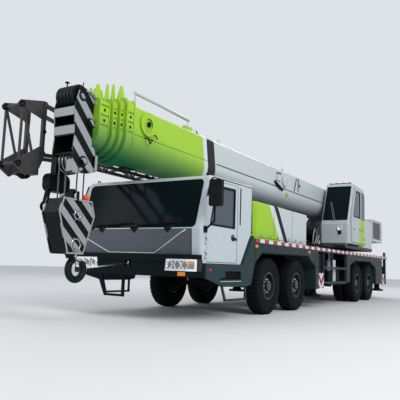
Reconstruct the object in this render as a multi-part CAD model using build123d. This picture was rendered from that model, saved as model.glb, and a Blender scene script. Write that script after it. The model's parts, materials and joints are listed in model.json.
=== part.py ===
from build123d import *
import math
import os

os.makedirs("parts", exist_ok=True)

# Four-axle mobile crane. Millimetres, X forward, Y to its left, Z up, ground at Z = 0.
# The origin is on the ground under the middle of its length, width from side to side.

# ---- driving dimensions -------------------------------------------------------------
HALF = 1375  # half the overall width
AXLE_X = (2730, 1250, -3500, -4860)  # stations of axles 1 to 4
TYRE_R = 555
TYRE_W = 300
RIM_R = 262
HUB_Z = TYRE_R
FRONT_Y = HALF - 235  # middle of a single front tyre
TWIN_Y = (HALF - 495, HALF - 160)  # middles of the twin tyres
TWIN_W = 285
KING_Y = HALF - 470  # kingpin
RIM_HOLES = 8

DECK_Z = 1445
DECK_T = 40
DECK_FRONT = 3603
REAR_END = -7320
REAR_POST_TOP = 1600
RAIL_Y = (330, 430)
RAIL_Z = (760, 1100)
SKIRT_T = 35  # side panels under the deck edge
SKIRT_LOW = 450
PANEL_JOINT = 0.3
GUARD_Y = HALF - 615  # inner edge of a mudguard

CAB_Y = HALF - 30
CAB_WALL = 45
CAB_CORNER = 65
CAB_REAR = 3680
CAB_FLOOR = 950
BUMPER_Z = (720, 1075)
SIDE_PANEL_LOW = 572

COVER_X = (430, 3400)
COVER_Y = HALF - 175
COVER_TOP = 2200
COVER_WALL = 20
COVER_CORNER = 220  # flat across each front corner of the cover

BEAM_X = {"front": (-140, -540), "rear": (-6740, -7130)}  # left beam, right beam
BEAM_W = 280
BEAM_Z = (720, 1020)
HOUSE_Z = (520, 1330)
JACK_Y = HALF - 225
JACK_R = 90
TUNNEL_Y = HALF - 355
FOOT_R = 215
FOOT_Z = (250, 305)
BAY_REAR = -2330  # rear end of the open bay behind the front outriggers

SLEW_X = -3650
PLATFORM_Z = (1560, 1640)
PIVOT = (-5320, 2950)  # boom foot pin, X and Z
LUFF_FOOT = (-3990, 1850)
LUFF_EYE = (-420, 2300)
BARREL_R, ROD_R = 165, 115
WEIGHT_REAR = -7480

BOOM_CZ = 2880  # centre of the round bottoms
BOOM_REAR = -5560
BOOM_WALL = 9
COLLAR_T = 40
# one row a section: half-width, height of top above BOOM_CZ, rear end, collar from, collar to, lug top
SECTIONS = (
    (400, 540, -5560, 6110, 6310, 3720),
    (360, 500, -5060, 6330, 6420, 3690),
    (320, 460, -4960, 6440, 6540, 3660),
    (280, 420, -4860, 6560, 6790, 3610),
    (205, 380, -4760, 6790, 6930, 3480),
)
HEAD_Y = 215  # outer face of the boom head's cheeks
HEAD_PIN = (6950, 2355)  # lower sheaves, X and Z
GUIDE_PIN = (7035, 3310)  # upper guide drum
HEAD_FRONT = 7175
SHEAVE_R = 169
ROPE_R = 11
DISC = (5730, 3180)  # round bosses on the base section's sides, X and Z

BLOCK_Y = 170  # outer face of the hook block's cheeks
BLOCK_SHEAVE_Z = 1570
CROSSHEAD_Z = 1140
HOOK_TILT = 30  # degrees, hook drawn back by its travel strap
HOOK_R, HOOK_ROD = 150, 52

JIB_Y = (-960, -590)  # outer and inner truss
JIB_Z = (2580, 3120)
JIB_X = (-1900, 6000, 7030)  # tip, end of the straight part, root frame

C, LO, HI = Align.CENTER, Align.MIN, Align.MAX


# ---- small helpers ------------------------------------------------------------------
def box(x0, x1, y0, y1, z0, z1):
    return Pos((x0 + x1) / 2, (y0 + y1) / 2, (z0 + z1) / 2) * Box(x1 - x0, y1 - y0, z1 - z0)


def side(points, y0, y1):
    """An outline of (X, Z) points carried from y0 to y1."""
    outline = Polyline(*[(x, y0, z) for x, z in points], close=True)
    return extrude(make_face(outline), y1 - y0, dir=(0, 1, 0))


def front(points, x0, x1):
    """An outline of (Y, Z) points carried from x0 to x1."""
    outline = Polyline(*[(x0, y, z) for y, z in points], close=True)
    return extrude(make_face(outline), x1 - x0, dir=(1, 0, 0))


def plan(points, z0, z1):
    """An outline of (X, Y) points carried from z0 to z1."""
    outline = Polyline(*[(x, y, z0) for x, y in points], close=True)
    return extrude(make_face(outline), z1 - z0, dir=(0, 0, 1))


def rounded(shape, axis, r):
    """Rounds the edges of a prism that run along one axis."""
    return fillet(shape.edges().filter_by(axis), r)


def bar(a, b, r):
    """A round bar from point a to point b."""
    a, b = Vector(*a), Vector(*b)
    return Plane(a, z_dir=b - a) * Cylinder(r, (b - a).length, align=(C, C, LO))


def stick(a, b, w):
    """A square bar from point a to point b."""
    a, b = Vector(*a), Vector(*b)
    return Plane(a, z_dir=b - a) * Box(w, w, (b - a).length, align=(C, C, LO))


def lying(x, z, r, y0, y1):
    """A round bar across the machine."""
    return bar((x, y0, z), (x, y1, z), r)


def upright(x, y, r, z0, z1):
    return Pos(x, y, z0) * Cylinder(r, z1 - z0, align=(C, C, LO))


def join(*shapes):
    return Part() + [s for s in shapes]


def flip(shape):
    return mirror(shape, about=Plane.XZ)


def same(shape):
    return shape


def pair(shape):
    return join(shape, flip(shape))


def strip(points, t, y0, y1):
    """A sheet of thickness t bent along (X, Z) points, below its line."""
    out = []
    for (xa, za), (xb, zb) in zip(points, points[1:]):
        n = math.hypot(xb - xa, zb - za)
        nx, nz = (zb - za) / n * t, -(xb - xa) / n * t
        out.append(side([(xa, za), (xb, zb), (xb + nx, zb + nz), (xa + nx, za + nz)], y0, y1))
    return join(*out)


def around_y(profile, x, z):
    """A closed (Y, radius) outline of lines turned about a line across the machine."""
    outline = Polyline(*[(x, y, z + r) for y, r in profile], close=True)
    return revolve(make_face(outline), axis=Axis((x, 0, z), (0, 1, 0)))


def save(name, shape):
    shape.label = name
    export_step(shape, f"parts/{name}.step")


# ---- wheels ---------------------------------------------------------------------------
def tyre(x, y, w):
    h = w / 2
    half = [(h * 0.80, RIM_R), (h, RIM_R + 95), (h * 0.95, TYRE_R - 55), (h * 0.70, TYRE_R)]
    profile = [(y - a, r) for a, r in half] + [(y + a, r) for a, r in reversed(half)]
    return around_y(profile, x, HUB_Z)


def hand_holes(x, y0, y1, ring, r):
    holes = []
    for k in range(RIM_HOLES):
        a = 2 * math.pi * k / RIM_HOLES
        holes.append(lying(x + ring * math.cos(a), HUB_Z + ring * math.sin(a), r, y0, y1))
    return holes


def flange(y, way):
    """The rim's lip just outside the tyre's bead."""
    return [(y, RIM_R - 24), (y, RIM_R + 12), (y + 9 * way, RIM_R + 12), (y + 9 * way, RIM_R - 24)]


def rim_front(x):
    y = FRONT_Y
    r = RIM_R
    barrel = around_y([(y - 118, r), (y - 118, r - 20), (y + 125, r - 20), (y + 125, r)], x, HUB_Z)
    lip = around_y(flange(y + 124.4, 1), x, HUB_Z)
    dish = [(y + 20, r - 19), (y + 72, 150), (y + 72, 50), (y + 56, 50), (y + 56, 145), (y + 4, r - 19)]
    hub = join(lying(x, HUB_Z, 112, y - 60, y + 96), lying(x, HUB_Z, 84, y + 95, y + 140))
    rim = join(barrel, lip, around_y(dish, x, HUB_Z)) - hand_holes(x, y, y + 90, 198, 27)
    return join(rim, hub) - lying(x, HUB_Z, 60.3, y - 61, y + 100)


def rim_twin(x):
    r = RIM_R
    ya, yb = TWIN_Y
    barrel = around_y([(ya - 115, r), (ya - 115, r - 20), (yb + 119, r - 20), (yb + 119, r)], x, HUB_Z)
    lip = around_y(flange(yb + 118.4, 1), x, HUB_Z)
    y = ya + 134
    dish = [(y + 16, r - 19), (y + 71, 150), (y + 71, 60), (y + 54, 60), (y + 54, 145), (y, r - 19)]
    hub = join(lying(x, HUB_Z, 125, ya + 40, yb + 20), lying(x, HUB_Z, 92, yb + 19, yb + 95))
    rim = join(barrel, lip, around_y(dish, x, HUB_Z)) - hand_holes(x, y - 14, y + 96, 200, 27)
    return join(rim, hub) - lying(x, HUB_Z, 70.3, ya + 39, yb + 20)


def knuckle(x):
    pin = upright(x, KING_Y, 32, HUB_Z - 110, HUB_Z + 110)
    low = upright(x, KING_Y, 62, HUB_Z - 115, HUB_Z - 62)
    high = upright(x, KING_Y, 62, HUB_Z + 62, HUB_Z + 115)
    ears = join(
        box(x - 60, x + 60, KING_Y, KING_Y + 95, HUB_Z - 115, HUB_Z - 62),
        box(x - 60, x + 60, KING_Y, KING_Y + 95, HUB_Z + 62, HUB_Z + 115),
    )
    web = box(x - 60, x + 60, KING_Y + 70, KING_Y + 100, HUB_Z - 115, HUB_Z + 115)
    drum = lying(x, HUB_Z, 200, KING_Y + 98, KING_Y + 165)
    spindle = lying(x, HUB_Z, 60, KING_Y + 98, FRONT_Y + 95)
    arm = box(x - 300, x + 10, KING_Y + 20, KING_Y + 60, HUB_Z - 100, HUB_Z - 72)
    return join(pin, low, high, ears, web, drum, spindle, arm)


for i in (0, 1):
    x = AXLE_X[i]
    tread, rim, pivot = tyre(x, FRONT_Y, TYRE_W), rim_front(x), knuckle(x)
    for name, turn in (("left", same), ("right", flip)):
        save(f"tyre_{i + 1}_{name}", turn(tread))
        save(f"rim_{i + 1}_{name}", turn(rim))
        save(f"knuckle_{i + 1}_{name}", turn(pivot))
for i in (2, 3):
    x = AXLE_X[i]
    treads = Compound(children=[tyre(x, TWIN_Y[0], TWIN_W), tyre(x, TWIN_Y[1], TWIN_W)])
    rim = rim_twin(x)
    for name, turn in (("left", same), ("right", flip)):
        save(f"tyres_{i + 1}_{name}", turn(treads))
        save(f"rim_{i + 1}_{name}", turn(rim))


# ---- axles, springs and propeller shafts -------------------------------------------------
def steered_axle(x):
    beam = box(x - 45, x + 45, -820, 820, HUB_Z - 60, HUB_Z + 40)
    eye = join(upright(x, KING_Y, 55, HUB_Z - 56, HUB_Z + 56), box(x - 40, x + 40, 780, KING_Y, HUB_Z - 50, HUB_Z + 50))
    return join(beam, pair(eye - upright(x, KING_Y, 32.3, HUB_Z - 60, HUB_Z + 60)))


def drive_axle(x):
    tube = box(x - 75, x + 75, -700, 700, HUB_Z - 75, HUB_Z + 75)
    bulb = around_y([(-170, 0), (-170, 90), (-90, 190), (90, 190), (170, 90), (170, 0)], x, HUB_Z)
    nose = bar((x, 0, HUB_Z), (x + 330, 0, HUB_Z + 20), 95)
    drum = lying(x, HUB_Z, 205, 700, 860)
    stub = lying(x, HUB_Z, 70, 700, TWIN_Y[1] + 10)
    return join(tube, bulb, nose, pair(join(drum, stub)))


def spring(x, y0, y1, seat):
    """Leaf spring with its seat on the axle and hangers up to the rail."""
    low = [(x - 480, 700), (x - 160, 650), (x + 160, 650), (x + 480, 700)]
    high = [(x + 480, 715), (x + 160, 705), (x - 160, 705), (x - 480, 715)]
    hangers = [box(x + s - 25, x + s + 25, y0, y1, 690, 800) for s in (-475, 475)]
    seats = box(x - 60, x + 60, y0, y1, seat, 660)
    brackets = box(x - 500, x + 500, RAIL_Y[1], y1, 780, 830)
    return join(side(low + high, y0, y1), *hangers, seats, brackets)


PROP_START = (950, 0, 660)
axles = []
for x in AXLE_X[:2]:
    axles.append(join(steered_axle(x), pair(spring(x, 440, 520, HUB_Z + 10))))
for x in AXLE_X[2:]:
    axles.append(join(drive_axle(x), pair(spring(x, 440, 520, HUB_Z + 60))))
nose_x = AXLE_X[2] + 330
axles[2] = join(axles[2], bar((nose_x - 20, 0, HUB_Z + 20), PROP_START, 38))
save("axles_and_springs", Compound(children=axles))

# ---- chassis ----------------------------------------------------------------------------
rails = pair(join(box(400, 3600, *RAIL_Y, *RAIL_Z), box(3590, 5000, *RAIL_Y, RAIL_Z[0], CAB_FLOOR)))
cross = [box(x, x + 120, -340, 340, 800, 930) for x in (480, 1900, 3300, 4600)]
spine = box(REAR_END + 20, 500, -430, 430, 800, DECK_Z - DECK_T)
spine = spine - box(REAR_END + 40, 480, -410, 410, 820, DECK_Z - 60)
frame = [rails, *cross, spine]
for end in ("front", "rear"):
    xl, xr = BEAM_X[end]
    w = BEAM_W / 2
    z0, z1 = BEAM_Z
    frame.append(box(xr - w - 30, xl + w + 30, -TUNNEL_Y, TUNNEL_Y, z0 - 30, z1 + 30))
    frame.append(box(xr - w - 30, xl + w + 30, -TUNNEL_Y + 15, TUNNEL_Y - 15, z1 + 30, DECK_Z - DECK_T))
chassis = join(*frame)
for end in ("front", "rear"):
    xl, xr = BEAM_X[end]
    w = BEAM_W / 2
    z0, z1 = BEAM_Z
    for x in (xl, xr):
        chassis = chassis - box(x - w - 6, x + w + 6, -1200, 1200, z0 - 6, z1 + 6)
        pads = join(
            box(x - w + 30, x + w - 30, TUNNEL_Y - 70, TUNNEL_Y, z0 - 7, z0 - 0.3),
            box(x - w + 30, x + w - 30, TUNNEL_Y - 70, TUNNEL_Y, z1 + 0.3, z1 + 7),
        )
        chassis = chassis + (pads if x == xl else flip(pads))
RING_R = (620, 760)
ring = upright(SLEW_X, 0, RING_R[1], DECK_Z - DECK_T - 10, 1530) - upright(SLEW_X, 0, RING_R[0], 1300, 1600)
REST_X = (3450, 3560)
REST_GAP = 15  # between the rest's pad and the boom
rest = join(
    box(*REST_X, -RAIL_Y[1], RAIL_Y[1], RAIL_Z[1], 1200),
    pair(box(*REST_X, 250, 330, 1190, 2400)),
    box(*REST_X, -330, 330, 2390, BOOM_CZ - SECTIONS[0][0] - REST_GAP),
)
save("chassis_frame", Compound(children=[join(chassis, ring), rest]))

# ---- deck, side panels and mudguards -------------------------------------------------------
FRONT_ARCH = ((3600, 921), (3560, 1010), (3260, 1200), (790, 1220), (270, 960), (262, SKIRT_LOW))
REAR_ARCH = ((-2600, 590), (-2620, 1060), (-3130, 1215), (-4900, 1230), (-5630, 1040), (-5680, 505))
INNER_Y = HALF - SKIRT_T - 0.3  # where the deck and the mudguards meet the side panels
BAND_LOW = HOUSE_Z[1] + 15  # panel above the jack housings and the open bay


def skirt(k):
    """One side's panels, in sheets between their joints: over the wheels, the bay and the tail."""
    gap_front = BEAM_X["front"][k] + 200
    gap_rear = BEAM_X["rear"][k] + 200
    over_front = list(FRONT_ARCH) + [(gap_front, SKIRT_LOW), (gap_front, BAND_LOW), (BAY_REAR, BAND_LOW)]
    over_rear = [(BAY_REAR, 590)] + list(REAR_ARCH) + [(gap_rear, 505), (gap_rear, BAND_LOW)]
    outline = over_front + over_rear + [(REAR_END, BAND_LOW), (REAR_END, DECK_Z), (FRONT_ARCH[0][0], DECK_Z)]
    joints = [REAR_END, gap_rear] + [x for x, _ in REAR_ARCH[4:0:-1]] + [BAY_REAR, gap_front]
    joints = joints + [x for x, _ in FRONT_ARCH[4::-2]]
    return [side(outline, HALF - SKIRT_T, HALF) & sheet(a, b) for a, b in zip(joints, joints[1:])]


def sheet(a, b):
    """The length of panel between two joints, which stand a hair's breadth open."""
    return box(a, b - PANEL_JOINT, HALF - SKIRT_T - 1, HALF + 1, SKIRT_LOW - 200, DECK_Z + 1)


deck = box(REAR_END, DECK_FRONT - 3, -INNER_Y, INNER_Y, DECK_Z - DECK_T, DECK_Z)
deck = deck - box(560, 3440, -450, 450, DECK_Z - 60, DECK_Z + 10)
deck = deck - box(REST_X[0] - 10, REST_X[1] + 10, -345, 345, DECK_Z - 60, DECK_Z + 10)
deck = deck - upright(SLEW_X, 0, RING_R[1] + 5, DECK_Z - 60, DECK_Z + 10)
guards = [strip(arch, -14, GUARD_Y, INNER_Y) for arch in (FRONT_ARCH, REAR_ARCH)]
under = DECK_Z - DECK_T
tail = join(
    box(REAR_END, REAR_END + 40, INNER_Y - 95, INNER_Y, 480, under),
    box(REAR_END, REAR_END + 19.7, -HALF + 250, INNER_Y - 90, 700, 1110),
)
right_post = box(REAR_END, REAR_END + 40, -INNER_Y, 95 - INNER_Y, BAND_LOW, under)
fins = [box(REAR_END, REAR_END + 330, way - 10, way + 10, DECK_Z, REAR_POST_TOP) for way in (HALF - 50, 50 - HALF)]
loops = []
for x0, x1 in ((-760, -400), (-1250, -890)):
    y, z = HALF - 60, DECK_Z + 90
    loops.append(join(upright(x0, y, 11, DECK_Z, z), upright(x1, y, 11, DECK_Z, z), bar((x0 - 11, y, z), (x1 + 11, y, z), 11)))
panels = skirt(0) + [flip(p) for p in skirt(1)]
save("deck", Compound(children=[deck, *panels, *guards, *[flip(g) for g in guards], tail, right_post, *fins, *loops]))

# ---- tanks and side racks ---------------------------------------------------------------
bay_front = BEAM_X["front"][0] - 205
RACK_Y = (HALF - 65, HALF - 10)
racks = join(
    box(BAY_REAR, bay_front, *RACK_Y, 565, 620),
    box(BAY_REAR, bay_front, *RACK_Y, 935, 990),
    box(BAY_REAR, BAY_REAR + 50, *RACK_Y, 565, BAND_LOW),
    box(bay_front - 50, bay_front, *RACK_Y, 565, BAND_LOW),
    box(-1080, -1030, *RACK_Y, 565, BAND_LOW),
    box(BAY_REAR, -745, 460, RACK_Y[0] + 20, 540, 572),
    box(-2300, -760, RAIL_Y[1], 470, 540, 830),
    rounded(box(-1000, -780, 560, 1000, 570, 980), Axis.X, 60),
    upright(-1620, 1130, 132, 570, 1180),
    upright(-1620, 1130, 60, 1170, 1215),
    upright(-2060, 1130, 90, 570, 1020),
    upright(-1270, 1180, 55, 570, 900),
)
tank = rounded(box(-2300, -800, -RACK_Y[1] + 5, -720, 560, 1180), Axis.X, 110)
straps = [box(x, x + 60, -RACK_Y[1], -715, 555, 1185) for x in (-2050, -1150)]
hangers = [box(x, x + 60, -725, -430, 900, 1000) for x in (-2050, -1150)]
save("tanks_and_racks", Compound(children=[racks, join(tank, *straps, *hangers)]))

# ---- driver's cab --------------------------------------------------------------------------
CAB = ((5400, 950), (5440, 1490), (5215, 2330), (5130, 2385), (CAB_REAR, 2415), (CAB_REAR, 1500), (4060, 950))
INNER = ((5340, 1010), (5380, 1490), (5165, 2290), (5110, 2340), (3730, 2365), (3730, 1520), (4090, 1010))
outer = side(CAB, -CAB_Y, CAB_Y)
long_edges = outer.edges().filter_by(lambda e: abs(e.center().Y) > CAB_Y - 1 and e.center().X > 3700 and e.center().Z > 1000)
outer = fillet(long_edges, CAB_CORNER)
inner = side(INNER, -CAB_Y + CAB_WALL + 10, CAB_Y - CAB_WALL - 10)
DOOR = ((4260, 975), (5270, 975), (5290, 1490), (5085, 2290), (4260, 2320))
cab = outer - inner
gap = 8
opening = ((4260 - gap, 975 - gap), (5270 + gap, 975 - gap), (5290 + gap, 1490), (5085 + gap, 2290 + gap), (4260 - gap, 2320 + gap))
cab = cab - side(opening, -CAB_Y - 10, CAB_Y + 10)
PANE_Y = (CAB_Y - 130, CAB_Y - 113)  # half-widths of the windscreen, foot and top
glass_line = ((PANE_Y[0], 1508), (PANE_Y[1], 2316), (-PANE_Y[1], 2316), (-PANE_Y[0], 1508))
aperture = rounded(front(glass_line, 5000, 5500), Axis.X, 80)
cab = cab - aperture
cab = cab - box(3600, 3800, -900, 900, 1750, 2250)
HINGE = (5295, CAB_Y + 17)  # door hinge line, X and Y
HINGE_ROWS = (1060, 1290)  # foot of each door hinge
for z in HINGE_ROWS:
    knuckles = join(
        box(5283, 5350, CAB_Y, CAB_Y + 29, z - 30, z - 0.5),
        box(5283, 5350, CAB_Y, CAB_Y + 29, z + 60.5, z + 90),
        upright(*HINGE, 8, z - 20, z + 80),
    )
    cab = join(cab, pair(knuckles))
save("driver_cab", cab)

screen = side(((5440 - 40, 1490 - 4), (5440 - 6, 1490 - 4), (5215 - 6, 2330), (5215 - 40, 2330)), -CAB_Y, CAB_Y)
screen = screen & aperture
back_pane = box(3695, 3703, -900, 900, 1750, 2250)
save("cab_glass", Compound(children=[screen, back_pane]))

door = side(DOOR, CAB_Y - CAB_WALL, CAB_Y)
window = ((4345, 1555), (5205, 1555), (5195, 1620), (5030, 2235), (4345, 2255))
door = door - side(window, CAB_Y - 100, CAB_Y + 20)
for z in HINGE_ROWS:
    leaf = join(upright(*HINGE, 12, z, z + 60), box(5215, 5262, CAB_Y - 1, CAB_Y + 10, z, z + 60), box(5260, 5290, CAB_Y + 2, CAB_Y + 10, z, z + 60))
    door = join(door, leaf)
door = door - upright(*HINGE, 8.3, 900, 1600)
save("door_left", door)
save("door_right", flip(door))

seat = join(
    box(4150, 4650, 520, 1040, 1150, 1290),
    side(((4060, 1200), (4200, 1200), (4090, 1900), (3980, 1890)), 540, 1020),
    box(4250, 4550, 620, 940, 1010, 1160),
)
dash = side(((5000, 1010), (5330, 1010), (5366, 1480), (5230, 1500), (5000, 1400)), -CAB_Y + 115, CAB_Y - 115)
wheel_post = bar((5060, 780, 1350), (4752, 780, 1565.6), 28)
ringwheel = Plane((4750, 780, 1567), z_dir=(-300, 0, 210)) * (Cylinder(230, 28) - Cylinder(195, 40))
spokes = Plane((4750, 780, 1567), z_dir=(-300, 0, 210)) * (Box(400, 40, 20) + Box(40, 400, 20))
save("cab_interior", Compound(children=[seat, flip(seat), join(dash, wheel_post, ringwheel, spokes)]))

# ---- bumper, lower side panels, steps ---------------------------------------------------------
CORNER_Y = HALF - 225  # where the bumper's ends bend back
bumper = plan(
    ((4700, -HALF), (5400, -HALF), (5510, -CORNER_Y), (5520, 0), (5510, CORNER_Y), (5400, HALF), (4700, HALF)), *BUMPER_Z
)
bumper = bumper - box(4600, 5400, -HALF + 60, HALF - 60, 600, 940)
bumper = bumper - box(4600, 5380, -HALF + 20, HALF - 20, 940, 1200)
bumper = bumper - side(((4600, 940), (5414, 940), (5414, 1080), (4600, 1080)), -1400, 1400)
bumper = bumper - box(5470, 5530, -110, 30, 870, 960)
SIDE_PANEL = (
    (5400, 940), (5400, 740), (4800, 600), (4700, SIDE_PANEL_LOW), (3900, SIDE_PANEL_LOW), (3730, 600),
    (CAB_REAR, 720), (3612, 925), (3612, 1425), (3668, 1490), (4046, 944),
)
panel = side(SIDE_PANEL, HALF - 60, HALF) - side(((4120, 670), (4120, 830), (4880, 830), (4860, 670)), HALF - 35, HALF + 1)
tread = side(((4125, 668), (4125, 690), (4865, 690), (4860, 668)), HALF - 36, HALF + 4)
ladder = join(
    side(((3870, 600), (3910, 600), (3910, 330), (3870, 330)), HALF - 55, HALF - 25),
    side(((4740, 620), (4790, 620), (4640, 330), (4590, 330)), HALF - 55, HALF - 25),
    box(3870, 4635, HALF - 60, HALF - 10, 330, 365),
)
guard = join(
    front(((-700, 740), (-650, 740), (-520, 350), (-570, 350)), 5440, 5480),
    box(5440, 5480, -190, -145, 350, 740),
    box(5440, 5480, -570, -145, 350, 390),
)
brackets = pair(box(4900, 4960, RAIL_Y[1], HALF - 50, 800, 920))
beams = pair(box(4900, 5440, RAIL_Y[1], RAIL_Y[1] + 40, 800, 920))
bumper_set = join(bumper, pair(join(panel, tread, ladder)), guard, brackets, beams)

lamp_front = front(((CORNER_Y - 430, 815), (HALF - 23, 815), (HALF + 5, 1000), (CORNER_Y - 410, 1000)), 5300, 5600)
LAMP = ((5480, 700), (5518, 700), (5518, CORNER_Y - 10), (5424, HALF - 9), (5408, HALF - 25), (5480, CORNER_Y - 40))
lamp = plan(LAMP, 815, 1000) & lamp_front
fog = box(5500, 5521, CORNER_Y - 180, CORNER_Y - 40, 740, 800)
lamps = Compound(children=[lamp, flip(lamp), fog, flip(fog)])
save("front_bumper", bumper_set - pair(lamp) - pair(fog))
save("lamps", lamps)

# ---- mirrors -------------------------------------------------------------------------------
mirror_set = join(
    rounded(box(5390, 5470, 1470, 1690, 1830, 2250), Axis.X, 35),
    box(5310, 5390, CAB_Y, CAB_Y + 26, 1430, 1530),
    bar((5350, CAB_Y + 14, 1480), (5430, 1560, 1600), 16),
    bar((5430, 1560, 1600), (5430, 1560, 1840), 16),
)
save("mirrors", Compound(children=[mirror_set, flip(mirror_set)]))

# ---- engine and its cover ---------------------------------------------------------------------
def cover_plan(grow):
    """The cover's outline seen from above, its front corners cut off."""
    x0, x1, y = COVER_X[0] - grow, COVER_X[1] + grow, COVER_Y + grow
    k = COVER_CORNER
    return [(x0, -y), (x1 - k, -y), (x1, -y + k), (x1, y - k), (x1 - k, y), (x0, y)]


REAR_EDGE = ((COVER_X[0] - 10, 1400), (COVER_X[0], 1400), (COVER_X[0] + 170, 2000), (COVER_X[0], 2120), (COVER_X[0] - 10, 2120))
body = plan(cover_plan(0), DECK_Z, COVER_TOP)
body = fillet(body.edges().group_by(Axis.Z)[-1], COVER_WALL + 15)
cover = body - plan(cover_plan(-COVER_WALL), DECK_Z - 1, COVER_TOP - COVER_WALL)
cover = cover - pair(side(REAR_EDGE, COVER_Y - 10, COVER_Y + 1))
save("engine_cover", cover)
save("engine", join(box(1500, 2900, -400, 400, 1110, 2050), pair(box(1600, 2800, RAIL_Y[0], RAIL_Y[1], RAIL_Z[1], 1112))))


# ---- outriggers ---------------------------------------------------------------------------------
def outrigger(x):
    """The left-hand beam at station x with its jack housing, and the jack with its foot."""
    w = BEAM_W / 2
    z0, z1 = BEAM_Z
    beam = box(x - w, x + w, -1090, JACK_Y - 100, z0, z1) - box(x - w + 12, x + w - 12, -1100, JACK_Y - 130, z0 + 12, z1 - 12)
    house = box(x - 130, x + 130, JACK_Y - 120, JACK_Y + 120, 520, 1150) - upright(x, JACK_Y, JACK_R + 0.3, 500, 1200)
    plate = box(x - 185, x + 185, HALF - 22, HALF - 2, 460, 830) + box(x - 90, x + 90, JACK_Y + 118, HALF - 20, 560, 800)
    cap = upright(x, JACK_Y, 110, 1140, 1165)
    mast = box(x - 95, x + 95, JACK_Y + 105, JACK_Y + 170, 545, 1285) - box(x - 30, x + 30, JACK_Y + 140, JACK_Y + 180, 860, 1250)
    body = join(beam, house, mast, plate, cap)
    jack = join(
        upright(x, JACK_Y, JACK_R, 330, 1130),
        upright(x, JACK_Y, 120, 300, 345),
        upright(x, JACK_Y, FOOT_R, *FOOT_Z),
    )
    return body, jack


for end in ("front", "rear"):
    for name, x, turn in (("left", BEAM_X[end][0], same), ("right", BEAM_X[end][1], flip)):
        body, jack = outrigger(x)
        save(f"outrigger_beam_{end}_{name}", turn(body))
        save(f"outrigger_jack_{end}_{name}", turn(jack))

# ---- slewing platform ------------------------------------------------------------------------------
base = upright(SLEW_X, 0, 740, 1530.3, PLATFORM_Z[1])
floor = box(-5700, -2600, -1200, 430, *PLATFORM_Z)
web = ((-2650, 1640), (-2650, 1760), (-3900, 2350), (-4750, 3060), (-5180, 3160), (-5460, 3160), (-5700, 2500), (-5950, 2300), (-5950, 1640))
webs = pair(side(web, 430, 465))
hole = lying(PIVOT[0], PIVOT[1], 60.3, -600, 600)
webs = webs - hole
foot_hole = lying(LUFF_FOOT[0], LUFF_FOOT[1], 60, -600, 600)
foot_pin = lying(LUFF_FOOT[0], LUFF_FOOT[1], 60, -440, 440)
right_box = rounded(box(-5600, -3100, -1250, -560, 1640, 2150), Axis.Z, 60)
cab_floor = box(-5700, -2600, 420, 1250, *PLATFORM_Z)
left_box = rounded(box(-5750, -4720, 520, 1240, 1640, 2560), Axis.Z, 60)
tail = box(-6300, -5600, -465, 465, 1640, 1900)
save("slewing_platform", join(base, floor, webs, foot_pin, right_box, cab_floor, left_box, tail))

w = WEIGHT_REAR
weight = plan(
    ((-5960, -1250), (w + 280, -1250), (w + 50, -900), (w, 0), (w + 50, 900), (w + 280, 1250), (-5960, 1250)), 1940, 2700
)
weight = rounded(weight, Axis.Z, 70)
weight = fillet(weight.edges().group_by(Axis.Z)[-1], 30)
weight = weight - box(-6500, -5900, -480, 480, 1900, 2800)
weight = weight - pair(box(-6970, -5950, 1222, 1260, 2010, 2630))
save("counterweight", join(weight, box(-6400, -5960, -900, 900, 1900, 1945)))

winch = join(
    lying(-5900 - 250, 2250, 240, -330, 330),
    pair(lying(-6150, 2250, 300, 330, 360)),
    pair(box(-6300, -6000, 335, 360, 1945, 2250)),
)
save("winches", winch)

# ---- operator's cab -----------------------------------------------------------------------------------
OPCAB = ((-2640, 1700), (-2640, 2250), (-3180, 3520), (-4330, 3480), (-4480, 3300), (-4480, 1700))
OPIN = ((-2700, 1760), (-2700, 2240), (-3215, 3460), (-4310, 3430), (-4420, 3280), (-4420, 1760))
OPCAB_Y = (500, 1330)
opcab = side(OPCAB, *OPCAB_Y)
long_edges = opcab.edges().filter_by(lambda e: min(abs(e.center().Y - y) for y in OPCAB_Y) < 1 and e.center().Z > 1750)
opcab = fillet(long_edges, 52) - side(OPIN, OPCAB_Y[0] + 45, OPCAB_Y[1] - 45)
OPDOOR = ((-2900, 1800), (-3900, 1800), (-3900, 3390), (-3260, 3410), (-2860, 2480))
opcab = opcab - side([(x, z) for x, z in ((-2960, 1860), (-3840, 1860), (-3840, 3330), (-3300, 3350), (-2920, 2480))], 1200, 1400)
screen_hole = rounded(front(((565, 2390), (1265, 2390), (1265, 3425), (565, 3425)), -3300, -2500), Axis.X, 70)
opcab = opcab - screen_hole
opcab = opcab - side(((-3960, 2500), (-4400, 2500), (-4400, 3260), (-4300, 3330), (-3960, 3350)), 1200, 1400)
legs = join(box(-4400, -4200, 540, 1200, 1640, 1710), box(-3000, -2800, 540, 1200, 1640, 1710), box(-4480, -2890, 1329, 1366, 1750, 1799.7))
save("operator_cab", join(opcab, legs))

oppane = side(((-2699, 2380), (-3148, 3436), (-3174, 3426), (-2725, 2370)), *OPCAB_Y) & screen_hole
quarter = side(((-3960, 2500), (-4400, 2500), (-4400, 3260), (-4300, 3330), (-3960, 3350)), 1300, 1306)
save("operator_glass", Compound(children=[oppane, quarter]))

opseat = join(
    box(-3900, -3400, 680, 1150, 2050, 2180),
    side(((-3980, 2080), (-3850, 2080), (-3950, 2800), (-4060, 2790)), 700, 1130),
    box(-3800, -3500, 780, 1050, 1760, 2060),
    box(-3700, -3200, 600, 670, 1760, 2350),
)
save("operator_seat", opseat)

opdoor = side(OPDOOR, 1336, 1366) - side(((-3050, 2500), (-3790, 2500), (-3790, 3310), (-3330, 3320), (-3040, 2600)), 1300, 1400)
save("operator_door", opdoor)


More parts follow.
